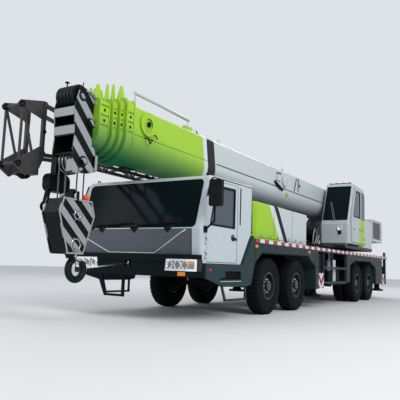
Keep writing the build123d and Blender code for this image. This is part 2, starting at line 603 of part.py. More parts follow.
# ---- boom --------------------------------------------------------------------------------------------------
def profile_face(x, w, h, grow=0):
    """The U-shaped section at station x: flat top, upright sides, round bottom."""
    w, h = w + grow, h + grow
    k = 45
    top = BOOM_CZ + h
    outline = [
        Line((x, w, BOOM_CZ), (x, w, top - k)),
        Line((x, w, top - k), (x, w - k, top)),
        Line((x, w - k, top), (x, -w + k, top)),
        Line((x, -w + k, top), (x, -w, top - k)),
        Line((x, -w, top - k), (x, -w, BOOM_CZ)),
        ThreePointArc((x, -w, BOOM_CZ), (x, 0, BOOM_CZ - w), (x, w, BOOM_CZ)),
    ]
    return make_face(outline)


def run(x0, x1, w, h, grow=0):
    return extrude(profile_face(x0, w, h, grow), x1 - x0, dir=(1, 0, 0))


def lug(x0, x1, y, z0, z1):
    """Pointed lug on top of a collar."""
    return side(((x0, z0), (x1, z0), ((x0 + x1) / 2 + 15, z1), ((x0 + x1) / 2 - 15, z1)), y - 15, y + 15)


def section(i):
    """The long shell of section i, and the collar that stands on its front end."""
    w, h, rear, c0, c1, tip = SECTIONS[i]
    if i == len(SECTIONS) - 1:
        return run(rear, c1, w, h) - run(rear - 1, c1 + 1, w, h, -BOOM_WALL), None
    shell = run(rear, c0, w, h) - run(rear - 1, c0 + 1, w, h, -BOOM_WALL)
    nw, nh = SECTIONS[i + 1][:2]
    ring = run(c0, c1, w, h, COLLAR_T) - run(c0 - 1, c1 + 1, nw, nh, 0.3)
    top = BOOM_CZ + h + COLLAR_T - 2
    return shell, join(ring, pair(lug(c0, c1, w * 0.55, top, tip)))


base_boom, base_collar = section(0)
foot = pair(side(((-5000, 2700), (-5000, 3200), (-5250, 3060), (-5450, 3010), (-5450, 2880), (-5250, 2800)), 330, 392))
w0, h0 = SECTIONS[0][:2]
rear_cap = run(BOOM_REAR, BOOM_REAR + 20, w0, h0)
pivot_pin = lying(PIVOT[0], PIVOT[1], 60, -464, 464)
pivot_tube = lying(PIVOT[0], PIVOT[1], 110, -424, 424)
ears = pair(side(((LUFF_EYE[0] - 330, 2560), (LUFF_EYE[0] - 90, LUFF_EYE[1] - 60), (LUFF_EYE[0] + 60, LUFF_EYE[1] - 60), (LUFF_EYE[0] + 330, 2560)), 115, 165))
ears = ears - run(-2000, 2000, w0, h0, -4)
disc = pair(lying(DISC[0], DISC[1], 200, w0 - 5, w0 + 38) - lying(DISC[0], DISC[1], 120, w0 + 20, w0 + 40))
rollers = join(
    pair(side(((3760, 3415), (4380, 3415), (4380, 3520), (4250, 3580), (3900, 3580), (3760, 3500)), 150, 170)),
    lying(3900, 3500, 55, -160, 160),
    lying(4240, 3500, 55, -160, 160),
)
top_lugs = join(*[pair(side(((x, 3415), (x + 160, 3415), (x + 110, 3560), (x + 50, 3560)), 190, 215)) for x in (2960, -480)])
base = join(base_boom, rear_cap, pivot_pin, pivot_tube, ears, disc, rollers, top_lugs)
save("boom_base", Compound(children=[base, base_collar]))

for i in (1, 2, 3):
    save(f"boom_section_{i + 1}", Compound(children=list(section(i))))

fly = section(4)[0]
px, pz = HEAD_PIN
CHEEK = (
    (6960, 3440), (7090, 3440), (HEAD_FRONT, 3140), (7140, 2700), (7155, 2570), (7160, 2160), (7045, 2165),
    (6835, 2190), (6690, 2230), (6700, 2480), (6740, 2585), (6798, 2605), (6798, 3300),
)
cheeks = pair(side(CHEEK, HEAD_Y - 25, HEAD_Y))
plates = join(
    box(7140, 7165, -HEAD_Y + 5, HEAD_Y - 5, 2990, 3130),
    box(7118, 7143, -HEAD_Y + 5, HEAD_Y - 5, 2710, 2870),
    box(7120, 7150, 95, HEAD_Y - 5, 2165, 2360),
    pair(box(6675, 6740, HEAD_Y - 5, HEAD_Y + 25, 2250, 2480)),
    pair(lying(6862, 2930, 60, HEAD_Y - 5, HEAD_Y + 30)),
)
pins = join(
    lying(px, pz, 45, -HEAD_Y - 30, HEAD_Y + 30),
    lying(*GUIDE_PIN, 45, -HEAD_Y - 30, HEAD_Y + 30),
    lying(7120, pz + 90, 20, -HEAD_Y + 5, HEAD_Y - 5),
)
sheaves = join(*[lying(px, pz, SHEAVE_R, y - 24, y + 24) for y in (-140, -70, 0, 70, 140)])
guides = join(*[lying(*GUIDE_PIN, 172, y - 24, y + 24) for y in (-140, -70, 0, 70, 140)])
save("boom_section_5", join(fly, cheeks, plates, pins, sheaves, guides))

# ---- lattice jib carried on the boom's right side --------------------------------------------------------
BAYS = 10
CHORD, LACE = 54, 30
root = JIB_X[2]
chords = []
for y in JIB_Y:
    for z, z_root in ((JIB_Z[0], 2500), (JIB_Z[1], 3280)):
        chords.append(stick((JIB_X[0], y, z), (JIB_X[1] + 20, y, z), CHORD))
        chords.append(stick((JIB_X[1], y, z), (root, y, z_root), CHORD))
    chords.append(stick((root, y, 2470), (root, y, 3310), CHORD))
laces = []
step = (JIB_X[1] - JIB_X[0] - 60) / BAYS
for k in range(BAYS):
    x = JIB_X[0] + 30 + k * step
    for y in JIB_Y:
        laces.append(stick((x, y, JIB_Z[0]), (x + step / 2, y, JIB_Z[1]), LACE))
        laces.append(stick((x + step / 2, y, JIB_Z[1]), (x + step, y, JIB_Z[0]), LACE))
    for z in JIB_Z:
        laces.append(stick((x, JIB_Y[0], z), (x, JIB_Y[1], z), LACE))
        laces.append(stick((x, JIB_Y[0], z), (x + step, JIB_Y[1], z), LACE))
UPPER_FORK = ((6990, 3335), (7060, 3335), (7480, 3240), (7500, 3160), (7060, 3050), (6990, 3050))
LOWER_FORK = ((6990, 2460), (6990, 2610), (7060, 2630), (7490, 2340), (7500, 2260), (7300, 2140), (7060, 2290))
for y in JIB_Y:
    laces += [side(UPPER_FORK, y - 15, y + 15), side(LOWER_FORK, y - 15, y + 15)]
    laces.append(stick((7440, y, 3180), (7440, y, 2310), LACE))
    laces.append(stick((7440, y, 3180), (7190, y, 2430), LACE))
for x, z in ((root, 3290), (root, 2490), (7440, 3185), (7440, 2310)):
    laces.append(stick((x, JIB_Y[0] - 15, z), (x, JIB_Y[1] + 15, z), LACE + 10))
laces.append(box(7060, 7300, JIB_Y[0], JIB_Y[1], 2180, 2300))
holders = join(*[box(x - 40, x + 40, JIB_Y[1], -SECTIONS[0][0], 2900, 2990) for x in (-560, 2580)])
arms = join(*[box(x - 40, x + 40, JIB_Y[1] - 15, JIB_Y[1] + 15, JIB_Z[0], JIB_Z[1]) for x in (-560, 2580)])
save("lattice_jib", join(*chords, *laces, holders, arms))

# ---- luffing cylinder ---------------------------------------------------------------------------------------
fx, fz = LUFF_FOOT
ex, ez = LUFF_EYE
length = math.hypot(ex - fx, ez - fz)
ux, uz = (ex - fx) / length, (ez - fz) / length


def along(s):
    return (fx + ux * s, 0, fz + uz * s)


barrel = bar(along(130), along(length - 260), BARREL_R) - bar(along(260), along(length - 250), ROD_R + 0.3)
eye = join(lying(fx, fz, 130, -110, 110), bar(along(0), along(200), 110))
barrel = join(barrel, eye) - lying(fx, fz, 60.3, -200, 200)
save("luff_barrel", barrel)
rod = bar(along(300), along(length - 60), ROD_R)
rod = join(rod, lying(ex, ez, 130, -100, 100))
save("luff_rod", rod)

# ---- hook block, its falls of rope, and the ball hook strapped under the head --------------------------
BLOCK = ((-280, 1800), (280, 1800), (355, 1580), (155, 1010), (-155, 1010), (-355, 1580))
cheeks = pair(side([(px + x, z) for x, z in BLOCK], BLOCK_Y - 20, BLOCK_Y))
PLATES = ((px + 268, 1790), (px + 345, 1580), (px + 150, 1020))
plates = join(strip(PLATES, 10, -BLOCK_Y + 15, BLOCK_Y - 15))
plates = join(plates, strip([(2 * px - x, z) for x, z in PLATES], -10, -BLOCK_Y + 15, BLOCK_Y - 15))
block_pins = join(
    lying(px, BLOCK_SHEAVE_Z, 45, -BLOCK_Y - 14, BLOCK_Y + 14),
    lying(px, CROSSHEAD_Z, 55, -BLOCK_Y - 14, BLOCK_Y + 14),
    *[lying(px, BLOCK_SHEAVE_Z, SHEAVE_R, y - 24, y + 24) for y in (-70, 70)],
)
lugs = pair(box(px - 5, px + 35, BLOCK_Y - 5, BLOCK_Y + 12, 1760, 1910))
ring = Pos(0, 0, -400) * (Rot(90, 0, 0) * Torus(HOOK_R, HOOK_ROD))
ring = ring - box(-260, 0, -80, 80, -400, -120)
hook = join(
    ring,
    Pos(-HOOK_R, 0, -400) * Sphere(HOOK_ROD),
    Pos(0, 0, -260) * Cylinder(46, 262, align=(C, C, LO)),
    stick((-20, 0, -240), (-HOOK_R, 0, -372), 16),
    Pos(0, 0, -150) * Cylinder(75, 60),
)
hook = Pos(px, 0, CROSSHEAD_Z) * Rot(0, HOOK_TILT, 0) * hook
FALLS = [(px + way * (SHEAVE_R + ROPE_R + 0.3), y) for y in (-70, 70) for way in (-1, 1)]
ropes = join(*[upright(x, y, ROPE_R - 3, 1540, pz - 60) for x, y in FALLS])
anchors = join(*[box(x - 30, x + 30, y - 25, y + 25, 1520, 1560) for x, y in FALLS])
save("hook_block", join(cheeks, plates, block_pins, lugs, hook, ropes, anchors))
tubes = [upright(x, y, ROPE_R, 1640, pz) - upright(x, y, ROPE_R - 2.7, 1600, pz + 1) for x, y in FALLS]
save("hoist_falls", Compound(children=tubes))

ball = join(
    rounded(box(6720, 7130, -410, -260, 1920, 2200), Axis.Y, 100),
    box(6880, 6970, -345, -HEAD_Y, 2180, 2250),
    bar((7060, -335, 2010), (7110, -335, 1760), 42),
    Pos(7118, -335, 1690) * (Rot(90, 0, 0) * Torus(62, 22)) - box(7020, 7105, -400, -280, 1692, 1800),
)
save("ball_hook", ball)
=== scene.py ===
import json
import math

import bpy
import numpy as np
from mathutils import Matrix, Vector


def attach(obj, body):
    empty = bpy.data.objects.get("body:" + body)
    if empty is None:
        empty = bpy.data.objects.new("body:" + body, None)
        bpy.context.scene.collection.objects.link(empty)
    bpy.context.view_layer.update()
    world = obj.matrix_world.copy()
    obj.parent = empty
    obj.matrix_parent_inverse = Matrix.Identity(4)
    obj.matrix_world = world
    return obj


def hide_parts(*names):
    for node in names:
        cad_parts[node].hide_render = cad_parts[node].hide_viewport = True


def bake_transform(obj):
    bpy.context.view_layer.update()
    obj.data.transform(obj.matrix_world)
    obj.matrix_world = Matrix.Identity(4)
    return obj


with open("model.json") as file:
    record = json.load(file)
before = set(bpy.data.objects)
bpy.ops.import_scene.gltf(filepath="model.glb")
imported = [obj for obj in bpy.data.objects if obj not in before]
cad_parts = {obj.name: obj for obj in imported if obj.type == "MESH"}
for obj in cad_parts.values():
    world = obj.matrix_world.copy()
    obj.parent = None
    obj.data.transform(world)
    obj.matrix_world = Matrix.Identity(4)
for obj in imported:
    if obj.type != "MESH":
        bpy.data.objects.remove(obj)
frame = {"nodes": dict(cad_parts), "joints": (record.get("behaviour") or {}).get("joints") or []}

bl_info = {
    "name": "Mobile crane",
    "version": (1, 0, 0),
    "blender": (4, 5, 0),
    "location": "View3D > Sidebar > Crane",
    "description": "Finish, road wear, trim and rigging for a four-axle mobile crane",
    "category": "Object",
}

# ---- colours: linear red, green, blue --------------------------------------------------------------
LIME = (0.29, 0.5, 0.03)
# painted shade: the lime made darker towards the boom's underside
LIME_SHADED = (0.02, 0.14, 0.06)
GREY = (0.46, 0.5, 0.52)
# painted shade: the grey made darker towards the boom's underside
GREY_SHADED = (0.1, 0.115, 0.125)
WHITE = (0.54, 0.59, 0.62)
# the cab's white paint, darker than WHITE as painted shade on the cab's sides
CAB_WHITE_SHADED = (0.42, 0.47, 0.5)
DARK = (0.005, 0.009, 0.01)
TEAL = (0.013, 0.026, 0.027)
SLATE = (0.026, 0.045, 0.05)
JIB = (0.05, 0.046, 0.046)
PANEL = (0.08, 0.09, 0.105)
SMOKE = (0.06, 0.078, 0.098)
MID = (0.19, 0.2, 0.21)
BLACK = (0.003, 0.004, 0.004)
LIGHT = (0.26, 0.28, 0.29)
RED = (0.3, 0.02, 0.028)
AMBER = (0.75, 0.22, 0.01)
STEEL = (0.42, 0.42, 0.43)
ROPE = (0.1, 0.1, 0.1)
RUBBER = (0.005, 0.006, 0.007)


def span(sign, near, far):
    """Both ends, lower first, of what reaches from near to far on the left (sign 1) or the right (sign -1)."""
    return sorted((sign * near, sign * far))


# ---- what a user would change ------------------------------------------------------------------------
def length_setting(name, value, what):
    return bpy.props.FloatProperty(name=name, description=what, default=value, unit="LENGTH")


def paint_setting(name, value, where):
    return bpy.props.FloatVectorProperty(
        name=name, description=f"Paint of {where}", default=value, min=0.0, max=1.0, subtype="COLOR"
    )


class CraneSettings(bpy.types.PropertyGroup):
    """Sizes of the tread, trim and rigging, in metres."""

    lugs: bpy.props.IntProperty(name="Tread lugs", description="Shoulder lugs round a tyre", default=44, min=8)
    tread_depth: length_setting("Tread depth", 0.015, "Depth of the grooves")
    rope_radius: length_setting("Rope radius", 0.011, "Radius of the wire rope")
    seal: length_setting("Window seal", 0.035, "Width of the black window seals")
    strip_pitch: length_setting("Strip pitch", 0.4, "Length of one red and one white mark")
    floor_tone: bpy.props.FloatProperty(
        name="Floor tone", description="Brightness of the floor", default=0.62, min=0.0, max=1.0
    )


class CraneColours(bpy.types.PropertyGroup):
    """The crane's main paints, as linear red, green and blue."""

    lime: paint_setting("Lime", LIME, "the boom's end and the front of the engine cover")
    grey: paint_setting("Grey", GREY, "the boom and the superstructure")
    # its default is the white paint with painted shade on the cab's sides
    cab: paint_setting("Cab", CAB_WHITE_SHADED, "the driver's cab")
    frame: paint_setting("Frame", TEAL, "the deck, the side panels and the beams")


def settings():
    """The sizes as they stand in the panel."""
    return bpy.context.scene.crane_settings


def colour_of(paint):
    """A main paint as it stands in the panel."""
    return tuple(getattr(bpy.context.scene.crane_colours, paint))


# ---- materials -----------------------------------------------------------------------------------
def node(tree, kind, *inputs, **options):
    """A new node; each input is a value or a socket to link."""
    n = tree.nodes.new(kind)
    for k, v in options.items():
        setattr(n, k, v)
    for i, v in enumerate(inputs):
        if isinstance(v, bpy.types.NodeSocket):
            tree.links.new(v, n.inputs[i])
        else:
            n.inputs[i].default_value = v
    return n


def maths(tree, operation, *inputs):
    """The outcome of one step of arithmetic."""
    return node(tree, "ShaderNodeMath", *inputs, operation=operation).outputs[0]


def distance(tree, coord, direction):
    """How far the place lies along direction."""
    return node(tree, "ShaderNodeVectorMath", coord, direction, operation="DOT_PRODUCT").outputs["Value"]


def between(tree, coord, direction, low, high):
    """1 where the place's distance along direction lies from low to high."""
    off = maths(tree, "SUBTRACT", distance(tree, coord, direction), (low + high) / 2)
    return maths(tree, "LESS_THAN", maths(tree, "ABSOLUTE", off), (high - low) / 2)


def bars(tree, along, period, share):
    """1 on even bars, each as wide as share of the period."""
    return maths(tree, "LESS_THAN", maths(tree, "FRACT", maths(tree, "DIVIDE", along, period)), share)


def stripes(tree, coord, direction, period, share):
    """Bars across direction."""
    return bars(tree, distance(tree, coord, direction), period, share)


def fade(tree, coord, direction, full, none):
    """1 at full and beyond, falling evenly to 0 at none."""
    return node(tree, "ShaderNodeMapRange", distance(tree, coord, direction), full, none, 1.0, 0.0).outputs[0]


def vee(tree, coord, centre, period, share):
    """Bars folded about an upright line, so that they meet there in points."""
    x, _, z = node(tree, "ShaderNodeSeparateXYZ", coord).outputs
    away = maths(tree, "ABSOLUTE", maths(tree, "SUBTRACT", x, centre))
    return bars(tree, maths(tree, "SUBTRACT", z, away), period, share)


SHAPES = {"stripes": stripes, "fade": fade, "vee": vee}


def feed(tree, source, colour, socket):
    """Links the source to the socket, or sets the plain colour there while nothing lies over it."""
    if source is None:
        socket.default_value = (*colour, 1)
    else:
        tree.links.new(source, socket)


def material(name, colour, rough=0.4, metal=0.0, zones=(), coat=0.0, dirt=0.03, alpha=1.0, grain=9.0, shine=0.25):
    """Painted or bare finish. Each zone is (colour, masks): the colour is laid where every mask is met."""
    mat = bpy.data.materials.new(name)
    mat.use_nodes = True
    tree = mat.node_tree
    shader = tree.nodes["Principled BSDF"]
    shader.inputs["Metallic"].default_value = metal
    shader.inputs["Coat Weight"].default_value = coat
    shader.inputs["Alpha"].default_value = alpha
    shader.inputs["Specular IOR Level"].default_value = shine
    coord = node(tree, "ShaderNodeTexCoord").outputs["Object"]
    now = None
    for tone, masks in zones:
        mask = None
        for m in masks:
            one = SHAPES[m[0]](tree, coord, *m[1:]) if m[0] in SHAPES else between(tree, coord, *m)
            mask = one if mask is None else maths(tree, "MULTIPLY", mask, one)
        mix = node(tree, "ShaderNodeMix", data_type="RGBA")
        tree.links.new(mask, mix.inputs["Factor"])
        feed(tree, now, colour, mix.inputs["A"])
        mix.inputs["B"].default_value = (*tone, 1)
        now = mix.outputs["Result"]
    if dirt:
        noise = node(tree, "ShaderNodeTexNoise", coord)
        noise.inputs["Scale"].default_value = grain
        noise.inputs["Detail"].default_value = 3
        worn = node(tree, "ShaderNodeMapRange", noise.outputs["Fac"], 0.35, 0.75, 1.0 - dirt, 1.0 + dirt)
        tint = node(tree, "ShaderNodeMix", data_type="RGBA", blend_type="MULTIPLY")
        tint.inputs["Factor"].default_value = 1.0
        feed(tree, now, colour, tint.inputs["A"])
        tree.links.new(worn.outputs[0], tint.inputs["B"])
        now = tint.outputs["Result"]
        gloss = node(tree, "ShaderNodeMapRange", noise.outputs["Fac"], 0.3, 0.7, rough * 0.85, min(1.0, rough * 1.25))
        tree.links.new(gloss.outputs[0], shader.inputs["Roughness"])
    else:
        shader.inputs["Roughness"].default_value = rough
    feed(tree, now, colour, shader.inputs["Base Color"])
    return mat


FAR = 99.0
COVER_BANDS = (0.889, 0.65, 0.45)  # along the cover: lime ends, white ends, black ends
BOOM_BANDS = (3.38, 3.244, 2.954)  # the same along the boom
X, Y, Z = (1, 0, 0), (0, 1, 0), (0, 0, 1)


def make_materials():
    """Every finish the crane shows, by name."""
    lime, grey, cab_shaded, teal = (colour_of(paint) for paint in ("lime", "grey", "cab", "frame"))
    lean = (1, 0, -0.778)  # bands on the cover reach further back at the bottom
    cover = (
        (WHITE, [(lean, COVER_BANDS[1], COVER_BANDS[0])]), (BLACK, [(lean, COVER_BANDS[2], COVER_BANDS[1])]),
        (grey, [(lean, -FAR, COVER_BANDS[2])]),
    )
    lean = (1, 0, -0.18)
    # painted shade: the lime darkens towards the boom's underside and the head
    shade = (LIME_SHADED, [("fade", (-0.08, 0, 1), 2.02, 2.62)])  # the lime deepens below, most towards the head
    boom = (
        shade,
        (WHITE, [(lean, BOOM_BANDS[1], BOOM_BANDS[0])]),
        (BLACK, [(lean, BOOM_BANDS[2], BOOM_BANDS[1])]),
        (grey, [(lean, -FAR, BOOM_BANDS[2])]),
        # painted shade: the grey darkens towards the boom's underside
        (GREY_SHADED, [(lean, -FAR, BOOM_BANDS[2]), ("fade", Z, 2.36, 2.84)]),
        (BLACK, [(Z, 2.934, 2.958), (X, -5.3, 3.4)]),
        (BLACK, [(Z, 2.942, 2.951), (X, 3.4, 6.1)]),
    )
    # zones laid over a base colour, each a colour and the limits it fills
    head = [(BLACK, [(X, 6.69, 7.4)])]
    block = []
    chevron = []
    # the groove along the bumper; the cab's nose panel and the corners behind its doors
    bumper = [(BLACK, [(Z, 0.925, 0.952), (X, 5.35, FAR)])]
    cab = [(PANEL, [(X, 5.365, FAR), (Z, 0.9, 1.492), (Y, -1.15, 1.15)]), (SLATE, [(X, 3.5, 3.75), (Z, 0.9, 1.48)])]
    lamp = []
    for sign, stations in ((1, (-0.14, -6.74)), (-1, (-0.54, -7.13))):
        # slanting bars on the cheeks of the boom's head and of the hook block
        cheek = (Y, *span(sign, 0.2, FAR))
        head.append((LIGHT, [("stripes", (0.72, 0, -0.7), 0.25, 0.5), (X, 6.69, 7.4), cheek]))
        cheek = (Y, *span(sign, 0.149, FAR))
        block.append((LIGHT, [("stripes", (0.67, 0, -0.74), 0.2, 0.5), (Z, 1.0, 1.81), cheek]))
        # warning plates on the outriggers' housings
        outer = (Y, *span(sign, 1.35, FAR))
        for x in stations:
            plate = [(X, x - 0.2, x + 0.2), (Z, 0.4, 0.84), outer]
            chevron += [(WHITE, plate), (RED, plate + [("vee", x, 0.26, 0.5)])]
        # the bumper's ends, the recess over the step and the dark strip behind the door
        outer = (Y, *span(sign, 1.3, FAR))
        bumper.append((SLATE, [(X, -FAR, 5.33), outer]))
        bumper.append((BLACK, [(X, 4.12, 4.88), (Z, 0.668, 0.834), (Y, *span(sign, 1.33, 1.352))]))
        cab.append((BLACK, [(X, 4.13, 4.18), (Z, 1.64, 2.3), outer]))
        # the field behind the front lamps, their turn signals and the markers
        cluster = (Y, *span(sign, 0.78, 1.25))
        lamp.append((MID, [cluster, (Z, 0.848, 0.972)]))
        lamp.append((AMBER, [(Y, *span(sign, 1.1, 1.24)), (Z, 0.935, 0.972)]))
        lamp.append((AMBER, [(Z, 0.7, 0.815)]))
        lamp.append((DARK, [(Y, *span(sign, 1.285, FAR))]))
    # clearer side windows, the lime band on the operator's cab, the hook, the shade under the platform
    clear = ((SMOKE, [(X, -FAR, -3.9)]),)
    opcab = ((lime, [((1, 0, 0.21), -FAR, -3.263), (X, -4.5, -3.5), (Z, 1.7, 2.55), (Y, 1.2, 1.5)]),)
    hook = [(DARK, [(Z, 0.0, 0.99)])]
    platform = [(DARK, [(Z, -FAR, 1.66)])]
    for x, z, low, high in ((-3.95, 2.11, -1.3, -0.5), (-4.8, 2.11, -1.3, -0.5), (-5.24, 2.52, 0.5, 1.3)):
        platform.append((BLACK, [(X, x - 0.005, x + 0.005), (Z, 1.7, z), (Y, low, high)]))
    # seams between the counterweight's slabs
    weight = ((BLACK, [(Z, 2.315, 2.325), (X, -7.6, -6.99)]), (BLACK, [(Y, -0.005, 0.005), (X, -7.6, -7.4)]))
    made = {}

    def paint(name, *values, **more):
        made[name] = material(name, *values, **more)

    paint("lime", lime, 0.34, zones=(shade,))
    paint("light", LIGHT, 0.4)
    paint("platform", grey, 0.4, zones=platform)
    paint("weight", grey, 0.4, zones=weight)
    paint("lime_deep", (0.1, 0.26, 0.03), 0.4)
    paint("grey", grey, 0.38, coat=0.2)
    paint("white", WHITE, 0.4)
    paint("dark", DARK, 0.5, shine=0.07)
    paint("teal", teal, 0.45, shine=0.12)
    paint("black", BLACK, 0.45, shine=0.1)
    paint("steel", STEEL, 0.33, 1.0)
    paint("chrome", (0.75, 0.75, 0.76), 0.12, 1.0, dirt=0.05)
    paint("rope", ROPE, 0.5, 0.6)
    paint("rubber", RUBBER, 0.75, dirt=0.2, grain=14, shine=0.08)
    paint("rim", (0.012, 0.026, 0.027), 0.4, shine=0.35)
    paint("casting", (0.008, 0.01, 0.01), 0.6, dirt=0.2, shine=0.1)
    paint("red", RED, 0.3)
    paint("amber", AMBER, 0.2, coat=0.5)
    paint("signal", (0.7, 0.075, 0.012), 0.3)
    paint("lens", (0.72, 0.75, 0.78), 0.08, coat=0.8, dirt=0.0)
    paint("glass", (0.004, 0.008, 0.01), 0.1, dirt=0.0, alpha=0.99, shine=0.03)
    paint("op_glass", (0.004, 0.008, 0.01), 0.1, zones=clear, dirt=0.0, alpha=0.97, shine=0.05)
    paint("side_glass", SMOKE, 0.06, dirt=0.0, alpha=0.93, shine=0.2)
    paint("jib", JIB, 0.5, shine=0.15)
    paint("tank", teal, 0.45, shine=0.12, zones=((grey, [(X, -1.756, -1.484), (Y, 0.99, 1.268)]),))
    paint("mid", MID, 0.45)
    paint("bumper", DARK, 0.5, zones=bumper, shine=0.04)
    paint("cover", lime, 0.4, zones=cover, shine=0.1)
    paint("boom", lime, 0.34, zones=boom)
    paint("head", lime, 0.4, zones=[shade] + head, shine=0.12)
    paint("block", BLACK, 0.45, shine=0.12, zones=block + hook)
    paint("cab", cab_shaded, 0.36, zones=cab)
    paint("opcab", (0.4, 0.44, 0.45), 0.38, zones=opcab)
    paint("beam", teal, 0.5, shine=0.12, zones=chevron)
    paint("lamp", (0.72, 0.75, 0.78), 0.08, coat=0.8, dirt=0.0, zones=lamp)
    return made


# one row a rule: start of the CAD node's name, finish
FINISHES = (
    ("axles", "casting"), ("knuckle", "casting"), ("chassis", "dark"), ("deck", "teal"), ("tanks", "tank"),
    ("driver_cab", "cab"), ("cab_glass", "glass"), ("cab_interior", "black"), ("front_bumper", "bumper"),
    ("lamps", "lamp"), ("mirrors", "black"), ("engine_cover", "cover"), ("engine", "casting"),
    ("tyre", "rubber"), ("rim", "rim"), ("door", "cab"), ("outrigger_beam", "beam"), ("outrigger_jack", "dark"),
    ("slewing", "platform"), ("operator_cab", "opcab"), ("operator_door", "opcab"), ("operator_glass", "op_glass"),
    ("operator_seat", "black"), ("counterweight", "weight"), ("winches", "rope"), ("luff_barrel", "dark"),
    ("luff_rod", "chrome"), ("boom_base", "boom"), ("lattice_jib", "jib"), ("boom_section_5", "head"),
    ("boom_section", "lime"), ("hook_block", "block"), ("hoist_falls", "rope"), ("ball_hook", "black"),
)
MATERIALS = {}


# ---- surfaces -----------------------------------------------------------------------------------
class Surface:
    """Points and faces gathered from tubes, boxes and turned rings, all in the crane's own frame, in metres."""

    def __init__(self):
        self.points, self.faces, self.smooth = [], [], []

    def add(self, points, faces, smooth=False):
        """Points and the faces among them, counted from the first of these points."""
        base = sum(len(p) for p in self.points)
        self.points.append(np.asarray(points, float))
        self.faces += [[base + i for i in f] for f in faces]
        self.smooth += [smooth] * len(faces)
        return self

    def grid(self, points, closed_u=False, closed_v=False, smooth=True):
        """A sheet of quads over points[u][v], joined round where u or v is closed."""
        p = np.asarray(points, float)
        nu, nv = p.shape[:2]
        u = np.arange(nu if closed_u else nu - 1)[:, None]
        v = np.arange(nv if closed_v else nv - 1)
        corners = [(u + i) % nu * nv + (v + j) % nv for i, j in ((0, 0), (1, 0), (1, 1), (0, 1))]
        return self.add(p.reshape(-1, 3), np.stack(corners, -1).reshape(-1, 4).tolist(), smooth)

    def prism(self, outline, offset):
        """A flat outline carried along offset; faces turn outward."""
        a = np.asarray(outline, float)
        offset = np.asarray(offset, float)
        n = len(a)
        if np.cross(a - a[0], np.roll(a, -1, 0) - a[0]).sum(0) @ offset > 0:
            a = a[::-1]
        faces = [list(range(n)), list(range(2 * n - 1, n - 1, -1))]
        faces += [[i, n + i, n + (i + 1) % n, (i + 1) % n] for i in range(n)]
        return self.add(np.vstack([a, a + offset]), [f[::-1] if i > 1 else f for i, f in enumerate(faces)])

    def box(self, x0, x1, y0, y1, z0, z1):
        """A block between two limits each way."""
        return self.prism([(x0, y0, z0), (x1, y0, z0), (x1, y1, z0), (x0, y1, z0)], (0, 0, z1 - z0))

    def tube(self, path, r, sides=8):
        """A round tube of radius r along a path, capped; each ring stands square to the mean of the runs it joins."""
        path = np.asarray(path, float)
        step = np.diff(path, axis=0)
        step /= np.linalg.norm(step, axis=1)[:, None]
        mean = np.vstack([step[:1], step[:-1] + step[1:], step[-1:]])
        mean /= np.linalg.norm(mean, axis=1)[:, None]
        up = np.array([0.0, 0.0, 1.0]) if abs(mean[0][2]) < 0.8 else np.array([0.0, 1.0, 0.0])
        turn = np.linspace(0, 2 * np.pi, sides, endpoint=False)
        rings = []
        for p, d in zip(path, mean):
            across = np.cross(d, up)
            across /= np.linalg.norm(across)
            up = np.cross(across, d)
            rings.append(p + r * (np.outer(np.cos(turn), across) + np.outer(np.sin(turn), up)))
        n = len(rings)
        self.grid(np.array(rings)[:, ::-1], closed_v=True)
        base = sum(len(q) for q in self.points) - n * sides
        self.faces += [[base + i for i in range(sides)][::-1], [base + (n - 1) * sides + i for i in range(sides)]]
        self.smooth += [False, False]
        return self

    def lying(self, x, z, r, y0, y1, sides=20):
        """A round bar across the crane."""
        return self.tube([(x, y0, z), (x, y1, z)], r, sides)

    def staple(self, x0, x1, y, foot, top, r):
        """A bar along the crane, bent down at both ends."""
        return self.tube([(x0, y, foot), (x0, y, top), (x1, y, top), (x1, y, foot)], r)

    def studs(self, x, z, circle, count, r, y0, y1, first=0.0):
        """Hexagonal studs evenly round a circle about (x, z); first is the first one's share of a step."""
        for k in range(count):
            a = 2 * math.pi * (k + first) / count
            self.lying(x + circle * math.cos(a), z + circle * math.sin(a), r, y0, y1, 6)

    def ring(self, centre, axis, profile, turns=32):
        """A closed (along, radius) profile turned once about axis through centre."""
        axis = np.asarray(axis, float)
        side = np.array([0.0, 0.0, 1.0]) if abs(axis[2]) < 0.9 else np.array([1.0, 0.0, 0.0])
        other = np.cross(axis, side)
        t = np.linspace(0, 2 * np.pi, turns, endpoint=False)[:, None, None]
        along, radius = np.asarray(profile, float).T[..., None]
        return self.grid(centre + along * axis + radius * (np.cos(t) * side + np.sin(t) * other), True, True)


def surfaces(count):
    """As many empty surfaces as are named."""
    return [Surface() for _ in range(count)]


def add_twins(*halves):
    """Gives each surface a mirrored twin, on the crane's other side, of all it has so far."""
    for half in halves:
        points = np.vstack(half.points)
        half.faces += [[len(points) + i for i in f[::-1]] for f in half.faces]
        half.points.append(points * (1, -1, 1))
        half.smooth *= 2


AXIS = 0.0001  # radius of a turned part's profile where it meets the axis


def flange(inner, outer, high, lean=0.002, foot=0.003):
    """Profile of a flat ring: its inner edge leans outward and its outer edge spreads to a foot."""
    return ((0, inner), (high, inner + lean), (high, outer), (0, outer + foot))


